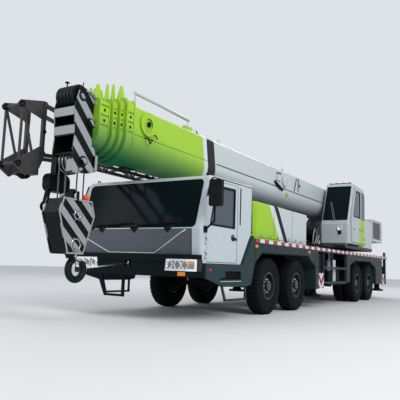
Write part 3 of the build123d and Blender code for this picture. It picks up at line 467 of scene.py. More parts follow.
def finished(name, surface, finish, body=None):
    """Makes the object, turns every closed part outward, gives it its finish and lets it ride its body."""
    mesh = bpy.data.meshes.new(name)
    mesh.from_pydata(np.vstack(surface.points).tolist(), [], surface.faces)
    mesh.polygons.foreach_set("use_smooth", surface.smooth)
    mesh.materials.append(MATERIALS[finish])
    mesh.validate()
    obj = bpy.data.objects.new(name, mesh)
    bpy.context.scene.collection.objects.link(obj)
    bpy.context.view_layer.objects.active = obj
    obj.select_set(True)
    bpy.ops.object.mode_set(mode="EDIT")
    bpy.ops.mesh.select_all(action="SELECT")
    bpy.ops.mesh.normals_make_consistent(inside=False)
    bpy.ops.object.mode_set(mode="OBJECT")
    obj.select_set(False)
    if body:
        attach(obj, body)
    return obj


def finish_all(body, **pieces):
    """Finishes pieces that ride the same body, each given as name=(surface, finish)."""
    for name, (surface, finish) in pieces.items():
        finished(name, surface, finish, body)


JOINTS = {joint["name"]: joint["pos_m"] for joint in frame["joints"] if "pos_m" in joint}


def pivot(joint):
    """Where a joint's axis crosses the crane's middle plane: along and up."""
    x, _, z = JOINTS[joint]
    return x, z


TYRE_R = pivot("wheel_1_left_spin")[1]  # the wheels stand on the ground, so their height is their radius
SINGLE, TWIN = ((1.14, 0.3),), ((0.88, 0.285), (1.215, 0.285))
# one row a wheel pair: number, station, (middle, width) of each tyre, body name
WHEELS = tuple(
    (k + 1, pivot(f"{body}_left_spin")[0], tyres, body)
    for k, (body, tyres) in enumerate(
        (("wheel_1", SINGLE), ("wheel_2", SINGLE), ("wheels_3", TWIN), ("wheels_4", TWIN))
    )
)
SIDES = (("left", 1), ("right", -1))
# one row a point of the tread's half profile: share of half-width, radius, share of the groove's depth
TREAD = (
    (0.0, 0.555, 0), (0.17, 0.555, 0), (0.19, 0.54, 0), (0.27, 0.54, 0), (0.29, 0.555, 0), (0.4, 0.555, 0),
    (0.43, 0.555, 1), (0.78, 0.552, 1), (0.9, 0.535, 1), (0.95, 0.505, 0.5), (0.985, 0.45, 0), (1.0, 0.38, 0),
    (0.975, 0.325, 0), (0.9, 0.29, 0), (0.8, 0.2625, 0),
)
# within one lug's turn: where the groove begins and ends, as shares of the turn, and the share of its depth there
GROOVE_TURNS, GROOVE_CUTS = (0.0, 0.3, 0.36, 0.94), (1, 1, 0, 0)


class CRANE_OT_tyres(bpy.types.Operator):
    """A tyre is a closed half profile of width and radius, mirrored across its middle and turned about the axle.
    Between two lugs the radius drops by the tread depth, over the outer part of the tread only."""

    bl_idname = "crane.tyres"
    bl_label = "Tyres with tread"

    def execute(self, context):
        s = settings()
        pitch = 2 * math.pi / s.lugs
        turn = (np.arange(s.lugs)[:, None] + GROOVE_TURNS).reshape(-1, 1) * pitch
        cut = np.tile(GROOVE_CUTS, s.lugs)[:, None] * s.tread_depth
        for number, x, rows, body in WHEELS:
            for side, sign in SIDES:
                surface = Surface()
                for middle, width in rows:
                    half = np.array(TREAD) * (width / 2, 1, 1)
                    y, r, groove = np.vstack([half[:0:-1], half * (-1, 1, 1)]).T
                    t = turn + np.where(y > 0, pitch / 2, 0)
                    radius = r - cut * groove
                    across = np.broadcast_to(sign * (middle + y), t.shape)
                    points = (x + radius * np.sin(t), across, TYRE_R + radius * np.cos(t))
                    surface.grid(np.stack(points, -1), True, True)
                name = f"tyre_{number}_{side}" if len(rows) == 1 else f"tyres_{number}_{side}"
                tyre = finished(f"tread_{number}_{side}", surface, "rubber", f"{body}_{side}")
                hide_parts(name)
        return {"FINISHED"}


class CRANE_OT_wheel_trim(bpy.types.Operator):
    """Ten nuts stand on a circle about the axle on each rim; a thin turned ring lies on the rim's lip."""

    bl_idname = "crane.wheel_trim"
    bl_label = "Wheel nuts and rings"

    def execute(self, context):
        for number, x, rows, body in WHEELS:
            front = len(rows) == 1
            face = rows[-1][0] + (0.072 if front else -0.13)
            lip = rows[-1][0] + (0.1334 if front else 0.1274)
            for side, sign in SIDES:
                nuts, ring = surfaces(2)
                nuts.studs(x, TYRE_R, 0.132, 10, 0.015, sign * (face - 0.004), sign * (face + 0.026))
                cap = rows[-1][0] + (0.138 if front else 0.114)
                circle = 0.066 if front else 0.074
                nuts.studs(x, TYRE_R, circle, 8, 0.008, sign * (cap - 0.003), sign * (cap + 0.008), 0.5)
                ring.ring((x, sign * lip, TYRE_R), (0, sign, 0), flange(0.244, 0.268, 0.004), 48)
                finished(f"nuts_{number}_{side}", nuts, "steel", f"{body}_{side}")
                finished(f"rim_ring_{number}_{side}", ring, "rim", f"{body}_{side}")
        return {"FINISHED"}


def frame_of(surface, outline, width, y0, y1):
    """A band of the given width inside a convex (x, z) outline, from y0 to y1: each corner moves inward along the sum
    of its two edges' normals, by the width over one plus their dot product."""
    p = np.asarray(outline, float)
    run = np.roll(p, -1, 0) - p
    normal = np.stack([-run[:, 1], run[:, 0]], 1) / np.linalg.norm(run, axis=1)[:, None]
    if normal[0] @ (p.mean(0) - p[0]) < 0:
        normal = -normal
    before = np.roll(normal, 1, 0)
    inner = p + (before + normal) * width / (1 + (before * normal).sum(1))[:, None]
    loops = [np.insert(edge, 1, y, 1) for edge, y in ((p, y0), (p, y1), (inner, y1), (inner, y0))]
    surface.grid(np.stack(loops, 1), True, True, smooth=False)


def pane(surface, outline, y0, y1):
    """A flat plate of glass from y0 to y1."""
    surface.prism([(x, y0, z) for x, z in outline], (0, y1 - y0, 0))


DOOR_PANE = ((4.345, 1.555), (5.205, 1.555), (5.195, 1.62), (5.03, 2.235), (4.345, 2.255))
OPDOOR_PANE = ((-3.79, 2.5), (-3.05, 2.5), (-3.04, 2.6), (-3.33, 3.32), (-3.79, 3.31))
QUARTER = ((-4.4, 2.5), (-3.96, 2.5), (-3.96, 3.35), (-4.3, 3.33), (-4.4, 3.26))


class CRANE_OT_glazing(bpy.types.Operator):
    """Each window is a thin prism of glass with a black band set inward from its outline by the seal's width."""

    bl_idname = "crane.glazing"
    bl_label = "Door glass and seals"

    def execute(self, context):
        s = settings()
        for side, sign in SIDES:
            glass, seal = surfaces(2)
            pane(glass, DOOR_PANE, sign * 1.322, sign * 1.328)
            frame_of(seal, DOOR_PANE, s.seal, sign * 1.318, sign * 1.349)
            finished(f"door_pane_{side}", glass, "side_glass", f"door_{side}")
            finished(f"door_seal_{side}", seal, "black", f"door_{side}")
        glass, seal = surfaces(2)
        pane(glass, OPDOOR_PANE, 1.35, 1.355)
        frame_of(seal, OPDOOR_PANE, s.seal, 1.346, 1.371)
        finished("operator_door_pane", glass, "side_glass", "operator_door")
        finished("operator_door_seal", seal, "black", "operator_door")
        flush, seal, wiper = surfaces(3)
        frame_of(seal, QUARTER, s.seal / 2, 1.3, 1.3345)
        pane(flush, QUARTER, 1.324, 1.329)
        finished("quarter_pane", flush, "side_glass", "superstructure")
        low, high, edges = (-2.69, 2.39), (-3.128, 3.42), (0.565, 1.265)  # the operator's windscreen
        for y in edges:
            seal.tube([(low[0], y, low[1]), (high[0], y, high[1])], 0.016)
        for x, z in (low, high):
            seal.tube([(x, y, z) for y in edges], 0.016)
        # painted highlight: the dark wipers are given light grey in place of their highlights
        for y in (0.9, 0.94):
            wiper.tube([(-2.662, y, 2.355), (-2.715, y - 0.05, 2.48), (-2.915, y - 0.19, 2.95)], 0.005)
        finish_all("superstructure", operator_wiper=(wiper, "light"), operator_cab_seals=(seal, "black"))
        return {"FINISHED"}


NOSE_X, NOSE_Z, NOSE_LEAN = 5.404, 0.95, 0.0741


def nose(y, z):
    """A place on the cab's nose, which leans forward as it rises."""
    return (NOSE_X + (z - NOSE_Z) * NOSE_LEAN, y, z)


class CRANE_OT_cab_trim(bpy.types.Operator):
    """Bars, tubes and plates on the driver's cab: drip rails, wipers, handles, roof eyes, the pale line on the nose."""

    bl_idname = "crane.cab_trim"
    bl_label = "Driver's cab trim"

    def execute(self, context):
        black, pale, dark, chrome = surfaces(4)
        rail = [(5.3, 1.347, 2.02), (5.2, 1.345, 2.3), (5.1, 1.333, 2.352), (3.7, 1.336, 2.372), (3.695, 1.347, 1.52)]
        black.tube(rail, 0.014)
        black.staple(5.1, 5.04, 1.2, 2.395, 2.425, 0.012)
        black.box(4.3, 4.42, 1.343, 1.362, 1.36, 1.4)
        add_twins(black)
        for y in (-0.95, -0.05):
            black.tube([(5.448, y, 1.515), (5.438, y + 0.62, 1.545)], 0.01)
            black.tube([(5.44, y + 0.1, 1.555), (5.425, y + 0.9, 1.59)], 0.012)
            black.lying(5.44, 1.505, 0.025, y - 0.02, y + 0.02, 12)
        line = [
            nose(-1.19, 1.4), nose(-1.12, 1.34), nose(-0.56, 1.09), nose(0.43, 1.09), nose(0.96, 1.43),
            nose(1.04, 1.47),
        ]
        pale.tube(line, 0.011, 6)
        dark.tube([nose(1.15, 1.485), nose(1.15, 0.955)], 0.005, 6)
        dark.box(5.378, 5.402, 1.242, 1.282, 1.12, 1.3)
        chrome.box(4.13, 4.86, 1.37, 1.378, 0.656, 0.668)
        add_twins(dark, chrome)
        for y in (-0.73, 0.0, 0.69):
            dark.prism([nose(y - 0.085, 1.506), nose(y + 0.085, 1.506), nose(y, 1.425)], (0.006, 0, 0))
        finish_all(
            "carrier", step_edges=(chrome, "chrome"), cab_black_trim=(black, "black"), cab_nose_line=(pale, "grey"),
            cab_notches=(dark, "black"),
        )
        for side, sign in SIDES:
            handle = Surface()
            handle.ring((4.42, sign * 1.346, 1.4), (0, sign, 0), flange(0.035, 0.055, 0.008, 0.003), 20)
            handle.box(4.375, 4.465, *span(sign, 1.345, 1.36), 1.385, 1.415)
            handle.box(4.262, 4.268, *span(sign, 1.3445, 1.3475), 0.99, 2.31)
            finished(f"door_handle_{side}", handle, "black", f"door_{side}")
            mirror = Surface()
            mirror.box(5.385, 5.389, *span(sign, 1.49, 1.67), 1.855, 2.225)
            finished(f"mirror_face_{side}", mirror, "chrome", "carrier")
        return {"FINISHED"}


DECK_EDGE, DECK_TOP, TAIL = 1.372, 1.444, -7.318  # where strips, treads and tail pieces lie


class CRANE_OT_lamps(bpy.types.Operator):
    """Round lenses stand behind the front lamps' covers; side markers and tail lamps are small boxes."""

    bl_idname = "crane.lamps"
    bl_label = "Lamps and markers"

    def execute(self, context):
        rings, amber, red = surfaces(3)
        for y in (0.8, 0.96, 1.1):
            rings.ring((5.517, y, 0.908), X, flange(0.048, 0.068, 0.006, 0.004, 0.004), 28)
        for x in (3.53, 0.72):
            amber.box(x - 0.05, x + 0.05, DECK_EDGE, 1.384, 1.28, 1.33)
        red.box(-2.69, -2.59, DECK_EDGE, 1.384, 1.31, 1.36)
        red.box(5.17, 5.25, DECK_EDGE, 1.384, 0.83, 0.87)
        for lens, y in ((red, 0.86), (red, 1.0), (amber, 1.14)):
            lens.box(-7.337, TAIL, y - 0.055, y + 0.055, 0.92, 1.04)
        add_twins(rings, amber, red)
        finish_all("carrier", lamp_rings=(rings, "chrome"), amber_markers=(amber, "amber"), red_markers=(red, "red"))
        return {"FINISHED"}


class CRANE_OT_deck_trim(bpy.types.Operator):
    """A run of equal boxes, in turn red and white, lies along each edge of the deck; hoses are tubes
    along bent paths."""

    bl_idname = "crane.deck_trim"
    bl_label = "Deck strip, steps and hoses"

    def execute(self, context):
        s = settings()
        marks = {"red": Surface(), "white": Surface()}
        count = int((3.58 + 7.3) / s.strip_pitch * 2)
        for k in range(count):
            x = 3.58 - k * s.strip_pitch / 2
            tone = "red" if k % 2 == 0 else "white"
            marks[tone].box(x - s.strip_pitch / 2 + 0.002, x, 1.373, 1.381, 1.375, 1.443)
        add_twins(*marks.values())
        for tone, surface in marks.items():
            finished(f"deck_strip_{tone}", surface, tone, "carrier")
        hoses, lines, plates, rear = surfaces(4)
        for k in range(4):
            y = 0.95 - 0.09 * k
            hoses.tube(
                [
                    (-0.2, y, 1.452), (-0.45, y, 1.5 + 0.02 * k), (-1.2, y - 0.1, 1.475), (-1.9, y - 0.25, 1.47),
                    (-2.5, y - 0.4, 1.455),
                ],
                0.02,
            )
        hoses.tube([(0.4, 0.9, 1.6), (0.2, 0.92, 1.72), (-0.1, 0.95, 1.66), (-0.3, 0.95, 1.455)], 0.024)
        hoses.tube([(0.42, 0.5, 1.8), (0.25, 0.5, 1.86), (0.05, 0.5, 1.75), (-0.05, 0.5, 1.455)], 0.024)
        for k in range(3):
            lines.tube(
                [(-1.1 - 0.12 * k, 1.18, 1.4), (-1.16 - 0.12 * k, 1.24, 1.3), (-1.22 - 0.12 * k, 1.2, 1.18)],
                0.014,
            )
        for x in (0.3, -1.0, -1.9, -5.9, -6.6):
            plates.box(x - 0.2, x + 0.2, 0.89, 1.21, DECK_TOP, DECK_TOP + 0.008)
        for z in (0.86, 1.02):
            plates.box(-7.34, TAIL, 0.59, 0.65, z - 0.02, z + 0.02)
        for x in (-0.1, -2.75, -5.95, -6.95):
            rear.staple(x - 0.05, x + 0.05, 1.27, 1.447, 1.475, 0.009)
        add_twins(plates, rear)
        plates.box(-7.345, TAIL, -1.05, 1.05, 0.66, 0.74)
        rear.box(-7.334, TAIL, -0.26, 0.26, 0.9, 1.03)
        finish_all(
            "carrier", bay_hoses=(lines, "grey"), deck_hoses=(hoses, "black"), rear_plate=(rear, "light"),
            deck_treads=(plates, "dark"),
        )
        return {"FINISHED"}


COVER_SIDE, COVER_TOP = 1.199, 2.199


class CRANE_OT_cover_trim(bpy.types.Operator):
    """Seams are thin strips laid on the engine cover; latches, hinges and the roof grille's bars are rows of boxes."""

    bl_idname = "crane.cover_trim"
    bl_label = "Engine cover trim"

    def execute(self, context):
        seams, latches = surfaces(2)
        for x in (2.35, 1.35):
            seams.box(x - 0.004, x + 0.004, COVER_SIDE, 1.2025, 1.5, 2.19)
        seams.box(0.62, 3.17, COVER_SIDE, 1.2025, 1.496, 1.504)
        for x in (2.95, 2.55, 2.15, 1.55, 1.15, 0.8):
            latches.box(x - 0.03, x + 0.03, COVER_SIDE, 1.215, 1.53, 1.56)
        add_twins(seams, latches)
        for k in range(9):
            seams.box(0.8 + 0.1 * k, 0.86 + 0.1 * k, -0.55, 0.55, COVER_TOP, 2.212)
        seams.box(1.9, 1.93, -1.19, 1.19, COVER_TOP, 2.204)
        for k in range(7):
            seams.box(0.72, 1.22, -1.206, -COVER_SIDE, 1.78 + 0.045 * k, 1.798 + 0.045 * k)
        finish_all("carrier", cover_seams=(seams, "black"), cover_latches=(latches, "steel"))
        return {"FINISHED"}


PIVOT, FOOT = pivot("luff"), pivot("barrel_tilt")  # the boom's hinge and the luffing cylinder's
DRUM, DRUM_R, DRUM_WIDE = (-6.15, 0, 2.25), 0.24, 0.64  # the winch drum's middle, radius and width
LAY = 1.6  # a round on the drum is this much thicker than the rope, which is laid loosely


class CRANE_OT_superstructure_trim(bpy.types.Operator):
    """Guard rails are bent tubes over the operator's cab; the lamp is a turned ring; the winch rope lies
    in turned rounds."""

    bl_idname = "crane.superstructure_trim"
    bl_label = "Superstructure trim"

    def execute(self, context):
        rails, lamp, panel, rope, hose = surfaces(5)
        panel.box(-6.95, -5.97, 1.221, 1.226, 2.03, 2.61)
        for k in range(9):
            rails.box(-6.93, -5.99, 1.225, 1.236, 2.06 + 0.06 * k, 2.085 + 0.06 * k)
        for x, z, r in ((*PIVOT, 0.13), (*FOOT, 0.11)):
            rails.ring((x, 0.465, z), Y, flange(r - 0.05, r, 0.02, 0.005, 0.006), 28)
            rails.lying(x, z, r * 0.45, 0.46, 0.492, 20)
        for x in (-6.05, -6.85):
            panel.staple(x, x + 0.1, 0.8, 2.695, 2.76, 0.014)
        add_twins(rails, panel)
        for y in (0.6, 0.8, 1.0, 1.2):
            rails.tube([(-3.2, y, 3.52), (-3.22, y, 3.56), (-4.05, y, 3.535), (-4.1, y, 3.48)], 0.012)
        for x in (-3.3, -3.95):
            rails.tube([(x, 0.58, 3.556 + (x + 3.22) * 0.03), (x, 1.22, 3.556 + (x + 3.22) * 0.03)], 0.012)
        for x, z in ((-3.08, 2.14), (-3.72, 2.16), (-4.12, 2.16), (-4.4, 1.9)):
            rails.box(x - 0.02, x + 0.02, 1.328 if x < -4 else 1.364, 1.34 if x < -4 else 1.374, z - 0.03, z + 0.03)
        lamp.ring(
            (-2.64, 1.07, 2.13), X,
            ((0.0, AXIS), (0.0, 0.07), (0.035, 0.07), (0.035, 0.058), (0.028, 0.052), (0.026, AXIS)), 24,
        )
        rails.box(-2.642, -2.615, 1.03, 1.12, 1.96, 2.06)
        for y, z, drop in ((0.34, 2.2, 0.25), (0.4, 2.05, 0.32), (0.46, 1.98, 0.22)):
            hose.tube(
                [
                    (-2.95, y, z), (-2.75, y, z - drop), (-2.6, y, z - drop / 3), (-2.48, y, z - drop),
                    (-2.42, y, 1.66),
                ],
                0.02,
            )
        r = settings().rope_radius * LAY
        a = np.linspace(0, 2 * np.pi, 8, endpoint=False)
        for y in -DRUM_WIDE / 2 + r * np.arange(1, DRUM_WIDE / r, 2)[:int(DRUM_WIDE / (2 * r))]:
            rope.ring(DRUM, Y, np.stack([y + r * np.cos(a), DRUM_R + r * np.sin(a)], 1), 40)
        for y in (1.1, 1.02):
            hose.tube(
                [
                    (-4.8, y, 2.555), (-4.84, y, 2.8), (-5.0, y - 0.04, 2.92), (-5.12, y - 0.08, 2.76),
                    (-5.2, y - 0.08, 2.555),
                ],
                0.018,
            )
        hose.tube([(-5.4, 0.9, 2.555), (-5.4, 0.9, 2.86), (-5.52, 0.9, 2.9)], 0.014)
        finish_all(
            "superstructure", cab_guards=(rails, "black"), slewing_hoses=(hose, "light"), work_lamp=(lamp, "lens"),
            weight_panels=(panel, "mid"), winch_rope=(rope, "rope"),
        )
        return {"FINISHED"}


BOOM_Z, BOOM_SIDE = 2.88, 0.398
# one row a section: body, half-width, top above BOOM_Z, collar from, collar to
COLLARS = (
    ("boom_base", 0.4, 0.54, 6.11, 6.31), ("boom_section_2", 0.36, 0.5, 6.33, 6.42),
    ("boom_section_3", 0.32, 0.46, 6.44, 6.54), ("boom_section_4", 0.28, 0.42, 6.56, 6.79),
)
PIN, GUIDE = pivot("hook_swing"), (7.035, 3.31)  # the head's sheave pins
# a sheave's rim: distance across the groove from its middle, radius
SHEAVE = (
    (-0.02484, 0.12), (-0.02484, 0.1685), (-0.01836, 0.1685), (-0.0108, 0.16),
    (0.0108, 0.16), (0.01836, 0.1685), (0.02484, 0.1685), (0.02484, 0.12),
)


def hoop(x0, x1, w, h, out0, out1, sides=18):
    """A closed band round the boom's section, between two offsets: flat top, upright sides and a
    thinner round bottom."""
    rings, u = [], np.linspace(0, math.pi, sides)
    for x, out in ((x0, out0), (x1, out0), (x1, out1), (x0, out1)):
        a, t = w + out, h + out
        c, top = a - 0.045, BOOM_Z + t
        flat = [(x, a, top - 0.045), (x, c, top), (x, -c, top), (x, -a, top - 0.045)]
        under = np.stack([np.full(sides, x), -a * np.cos(u), BOOM_Z - (w + min(out, 0.038)) * np.sin(u)], 1)
        rings.append(np.vstack([flat, under]))
    return np.array(rings)


class CRANE_OT_boom_trim(bpy.types.Operator):
    """Hoops follow the boom's outline at a set offset on each collar; ribs are upright boxes;
    fittings are tubes and boxes."""

    bl_idname = "crane.boom_trim"
    bl_label = "Boom collars and fittings"

    def execute(self, context):
        for body, w, h, x0, x1 in COLLARS:
            bands, ribs, dots = surfaces(3)
            wide = 0.022 if x1 - x0 > 0.15 else 0.014
            for a in (x0 + 0.002, x1 - wide - 0.002):
                bands.grid(hoop(a, a + wide, w, h, 0.036, 0.052), True, True, smooth=False)
            for z in (2.95, 3.1, 3.25):
                ribs.box(x0 + 0.004, x1 - 0.004, w + 0.036, w + 0.05, z - 0.008, z + 0.008)
            c = (x0 + x1) / 2
            for z in (3.02, 3.18):
                dots.box(c - 0.018, c + 0.018, w + 0.038, w + 0.046, z - 0.02, z + 0.02)
            add_twins(ribs, dots)
            dots.lying(x0 + 0.05, BOOM_Z + h + 0.036, 0.032, -0.17, 0.17, 16)
            finished(f"{body}_bands", bands, "lime", body)
            finished(f"{body}_ribs", ribs, "lime_deep", body)
            finished(f"{body}_pads", dots, "black", body)
        fit, tube, lime, pale = surfaces(4)
        y, near, out = 0.402, 0.44, 0.47
        lime.ring((5.73, 0.438, 3.18), Y, flange(0.095, 0.122, 0.01, 0.003), 32)
        fit.ring((5.73, 0.438, 3.18), Y, ((0, AXIS), (0.012, 0.03), (0.012, 0.045), (0, 0.048)), 24)
        fit.tube(
            [(-0.76, y, 2.97), (-0.8, near, 3.26), (-0.88, near, 3.34), (-1.0, near, 3.32), (-1.04, y, 3.0)], 0.01
        )
        fit.lying(-1.15, 3.18, 0.032, BOOM_SIDE, 0.415, 20)
        fit.tube([(0.56, y, 3.06), (0.46, near, 2.99), (0.28, near, 2.93), (0.06, y, 2.9)], 0.034)
        for x in (0.25, 0.38):
            fit.box(x, x + 0.05, BOOM_SIDE, 0.452, 3.262, 3.3)
        pale.box(0.24, 0.46, BOOM_SIDE, 0.45, 3.1, 3.26)
        pale.box(-0.16, 0.12, BOOM_SIDE, 0.414, 2.96, 3.24)
        pale.tube([(0.02, 0.375, 3.4), (0.02, 0.375, 3.6)], 0.01)
        lime.box(-0.31, -0.18, 0.38, 0.425, 2.79, 2.86)
        fit.tube([(5.66, y, 2.95), (5.66, out, 2.93), (5.72, out, 2.86), (5.78, out, 2.93), (5.78, y, 2.95)], 0.012)
        fit.tube([(5.55, y, 3.05), (5.55, 0.45, 3.03), (5.5, 0.45, 2.98)], 0.01)
        add_twins(fit, lime, pale)
        pale.ring(
            (-0.03, 0.41, 3.12), Y, ((0, AXIS), (0, 0.13), (0.04, 0.13), (0.055, 0.118), (0.055, AXIS)),
            32,
        )
        for x in (5.72, 2.1):
            fit.box(x - 0.14, x + 0.14, -0.05, 0.05, 2.466, 2.484)
        tube.tube([(5.98, 0.3, 3.672), (5.3, 0.3, 3.66), (4.35, 0.3, 3.625)], 0.03, 12)
        tube.tube([(5.95, 0.3, 3.66), (5.95, 0.3, 3.6), (5.95, 0.3, 3.415)], 0.016)
        tube.tube([(4.37, 0.3, 3.62), (4.35, 0.3, 3.415)], 0.016)
        finish_all(
            "boom_base", boom_fittings=(fit, "black"), boom_top_tube=(tube, "grey"), boom_brackets=(pale, "grey"),
            boom_clamps=(lime, "lime"),
        )
        return {"FINISHED"}


class CRANE_OT_head_trim(bpy.types.Operator):
    """A sheave's rim is a turned ring with a hollowed groove; rods on the head are tubes; plates are thin prisms."""

    bl_idname = "crane.head_trim"
    bl_label = "Boom head trim"

    def execute(self, context):
        rims, pale, black, drum = surfaces(4)
        for x, z, r in ((*PIN, 0.075), (*GUIDE, 0.075), (6.862, 2.93, 0.085)):
            black.ring((x, 0.2145, z), Y, flange(r - 0.02, r, 0.012), 28)
        for lift in (2.965, 2.895):
            pale.box(6.665, 6.79, 0.238, 0.262, lift - 0.011, lift + 0.011)
        pale.tube([(6.68, 0.25, 2.875), (6.68, 0.25, 2.985)], 0.014)
        for x, z in ((6.82, 3.36), (6.9, 3.4), (6.78, 3.26), (6.83, 2.22), (7.02, 2.22)):
            pale.lying(x, z, 0.022, 0.205, 0.262, 12)
        pale.tube([(6.82, 0.25, 3.36), (6.9, 0.25, 3.4), (7.0, 0.25, 3.385)], 0.012)
        pale.box(6.69, 6.735, 0.2405, 0.246, 2.26, 2.47)
        add_twins(black, pale)
        for y in (-0.14, -0.07, 0.0, 0.07, 0.14):
            for rim, (x, z), rise in ((rims, PIN, 0.0003), (drum, GUIDE, 0.004)):
                rim.ring((x, y, z), Y, [(a, r + rise * (r > 0.15)) for a, r in SHEAVE], 40)
        for x, z in ((7.167, 3.06), (7.146, 2.79)):
            pale.box(x - 0.004, x + 0.012, -0.205, 0.205, z - 0.062, z + 0.062)
        pale.box(7.151, 7.16, 0.1, 0.205, 2.18, 2.35)
        black.box(7.16, 7.166, -0.205, -0.1, 2.17, 2.4)
        black.box(7.162, 7.168, 0.09, 0.2, 2.372, 2.385)
        black.tube([(7.04, -0.12, 3.45), (7.04, -0.12, 3.56)], 0.01)
        black.tube([(6.98, 0.14, 3.44), (6.96, 0.14, 3.55)], 0.008)
        black.ring((7.04, -0.12, 3.555), Z, ((0, AXIS), (0, 0.035), (0.012, 0.035), (0.012, AXIS)), 16)
        black.tube([(7.0, 0.1, 3.46), (6.8, 0.1, 3.44), (6.6, 0.1, 3.34), (6.58, 0.1, 3.302)], 0.016)
        finish_all(
            "boom_section_5", head_sheaves=(rims, "steel"), head_plates=(pale, "light"), head_bosses=(black, "black"),
            guide_sheaves=(drum, "dark"),
        )
        return {"FINISHED"}


class CRANE_OT_block_trim(bpy.types.Operator):
    """Turned rings stand round the pins on the block's cheeks; its edges carry a pale band; the cap is
    a short cylinder."""

    bl_idname = "crane.block_trim"
    bl_label = "Hook block trim"

    def execute(self, context):
        rings, edge, cap, chrome = surfaces(4)
        outline = [
            (PIN[0] + x, z)
            for x, z in ((-0.28, 1.8), (0.28, 1.8), (0.355, 1.58), (0.155, 1.01), (-0.155, 1.01), (-0.355, 1.58))
        ]
        for z, r in ((1.57, 0.07), (1.14, 0.095)):
            rings.ring((PIN[0], 0.1695, z), Y, flange(r - 0.022, r, 0.014), 32)
            rings.studs(PIN[0], z, r + 0.02, 6, 0.009, 0.168, 0.178)
        frame_of(edge, outline, 0.022, 0.1696, 0.176)
        chrome.ring(
            (PIN[0] + 0.015, 0.15, 1.84), Y, ((-0.006, 0.022), (0.014, 0.023), (0.014, 0.046), (-0.006, 0.048)), 20
        )
        add_twins(rings, edge, chrome)
        cap.tube([(6.765, 0.13, 1.795), (6.765, 0.13, 1.85), (6.765, 0.13, 1.88)], 0.046, 20)
        finish_all(
            "hook_block", block_rings=(rings, "steel"), block_edges=(edge, "light"), block_cap=(cap, "signal"),
            block_eyes=(chrome, "grey"),
        )
        strap = Surface()
        strap.tube([(5.478, -0.04, 0.915), (6.545, 0.0, 0.815)], 0.011)
        strap.ring(
            (5.485, -0.04, 0.915), Y, ((-0.012, 0.02), (0.012, 0.02), (0.012, 0.04), (-0.012, 0.04)), 20
        )
        finished("travel_strap", strap, "steel", "carrier")
        return {"FINISHED"}


class CRANE_OT_rigging(bpy.types.Operator):
    """Two ropes run in straight tubes from the winch to the boom's foot and on along its top to the guide sheaves.
    Between two sections the rope is a short straight tube of its own, fixed where it lies."""

    bl_idname = "crane.rigging"
    bl_label = "Ropes along the boom"

    def execute(self, context):
        r = settings().rope_radius
        stations = [(-5.2, 3.47), (6.21, 3.5), (6.375, 3.47), (6.49, 3.42), (6.675, 3.37), (7.0, 3.486)]
        for k, y in enumerate((-0.07, 0.07)):
            whole = Surface()
            whole.tube([(-5.2, y, 3.47), (6.21, y, 3.5)], r)
            finished(f"boom_rope_{k}", whole, "rope", "boom_base")
            lead = Surface()
            lead.tube([(-6.15, y, 2.49), (-5.45, y, 3.1), (-5.2, y, 3.47)], r)
            lead = finished(f"winch_rope_lead_{k}", lead, "rope")
            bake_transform(lead)
            for i in range(1, 5):
                (xa, za), (xb, zb) = stations[i], stations[i + 1]
                piece = Surface()
                piece.tube([(xa, y, za), (xb, y, zb)], r)
                piece = finished(f"section_rope_{i}_{k}", piece, "rope")
                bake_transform(piece)
        guides = Surface()
        for x in (-4.9, -2.6, 0.1, 2.6, 5.4):
            guides.box(x - 0.012, x + 0.012, -0.13, 0.13, 3.418, 3.455)
            guides.lying(x, 3.462, 0.016, -0.12, 0.12, 12)
        finished("rope_guides", guides, "black", "boom_base")
        return {"FINISHED"}


class CRANE_OT_jib_trim(bpy.types.Operator):
    """Pins, eyes and a small sheave on the jib's root are short cylinders and turned rings across the jib."""

    bl_idname = "crane.jib_trim"
    bl_label = "Jib pins and sheave"

    def execute(self, context):
        pins, pale = surfaces(2)
        for y in (-0.96, -0.59):
            for x, z in ((7.455, 3.185), (7.455, 2.3), (7.02, 3.27), (7.02, 2.52)):
                pins.ring(
                    (x, y, z), Y, ((-0.026, 0.02), (-0.026, 0.048), (0.026, 0.048), (0.026, 0.02)), 20
                )
            pins.lying(7.02, 2.86, 0.035, y - 0.03, y + 0.03, 16)
        pins.tube([(7.3, -0.775, 2.16), (6.98, -0.775, 2.24)], 0.022, 10)
        pins.ring(
            (7.18, -0.775, 2.24), Y,
            ((-0.03, 0.03), (-0.03, 0.125), (-0.012, 0.105), (0.012, 0.105), (0.03, 0.125), (0.03, 0.03)), 32,
        )
        for x in (-0.56, 2.58):
            pale.box(x - 0.07, x + 0.07, -0.62, -0.4, 2.89, 2.9)
            pale.box(x - 0.05, x + 0.05, -0.625, -0.602, 2.84, 3.05)
        finish_all("boom_base", jib_pins=(pins, "black"), jib_clamps=(pale, "lime"))
        return {"FINISHED"}


FLOOR_HALF = 60
EYE, AIM = (12.324, 5.592, 0.906), (0.5583, 0.126, 0.034)  # the camera's place; its yaw, pitch and roll


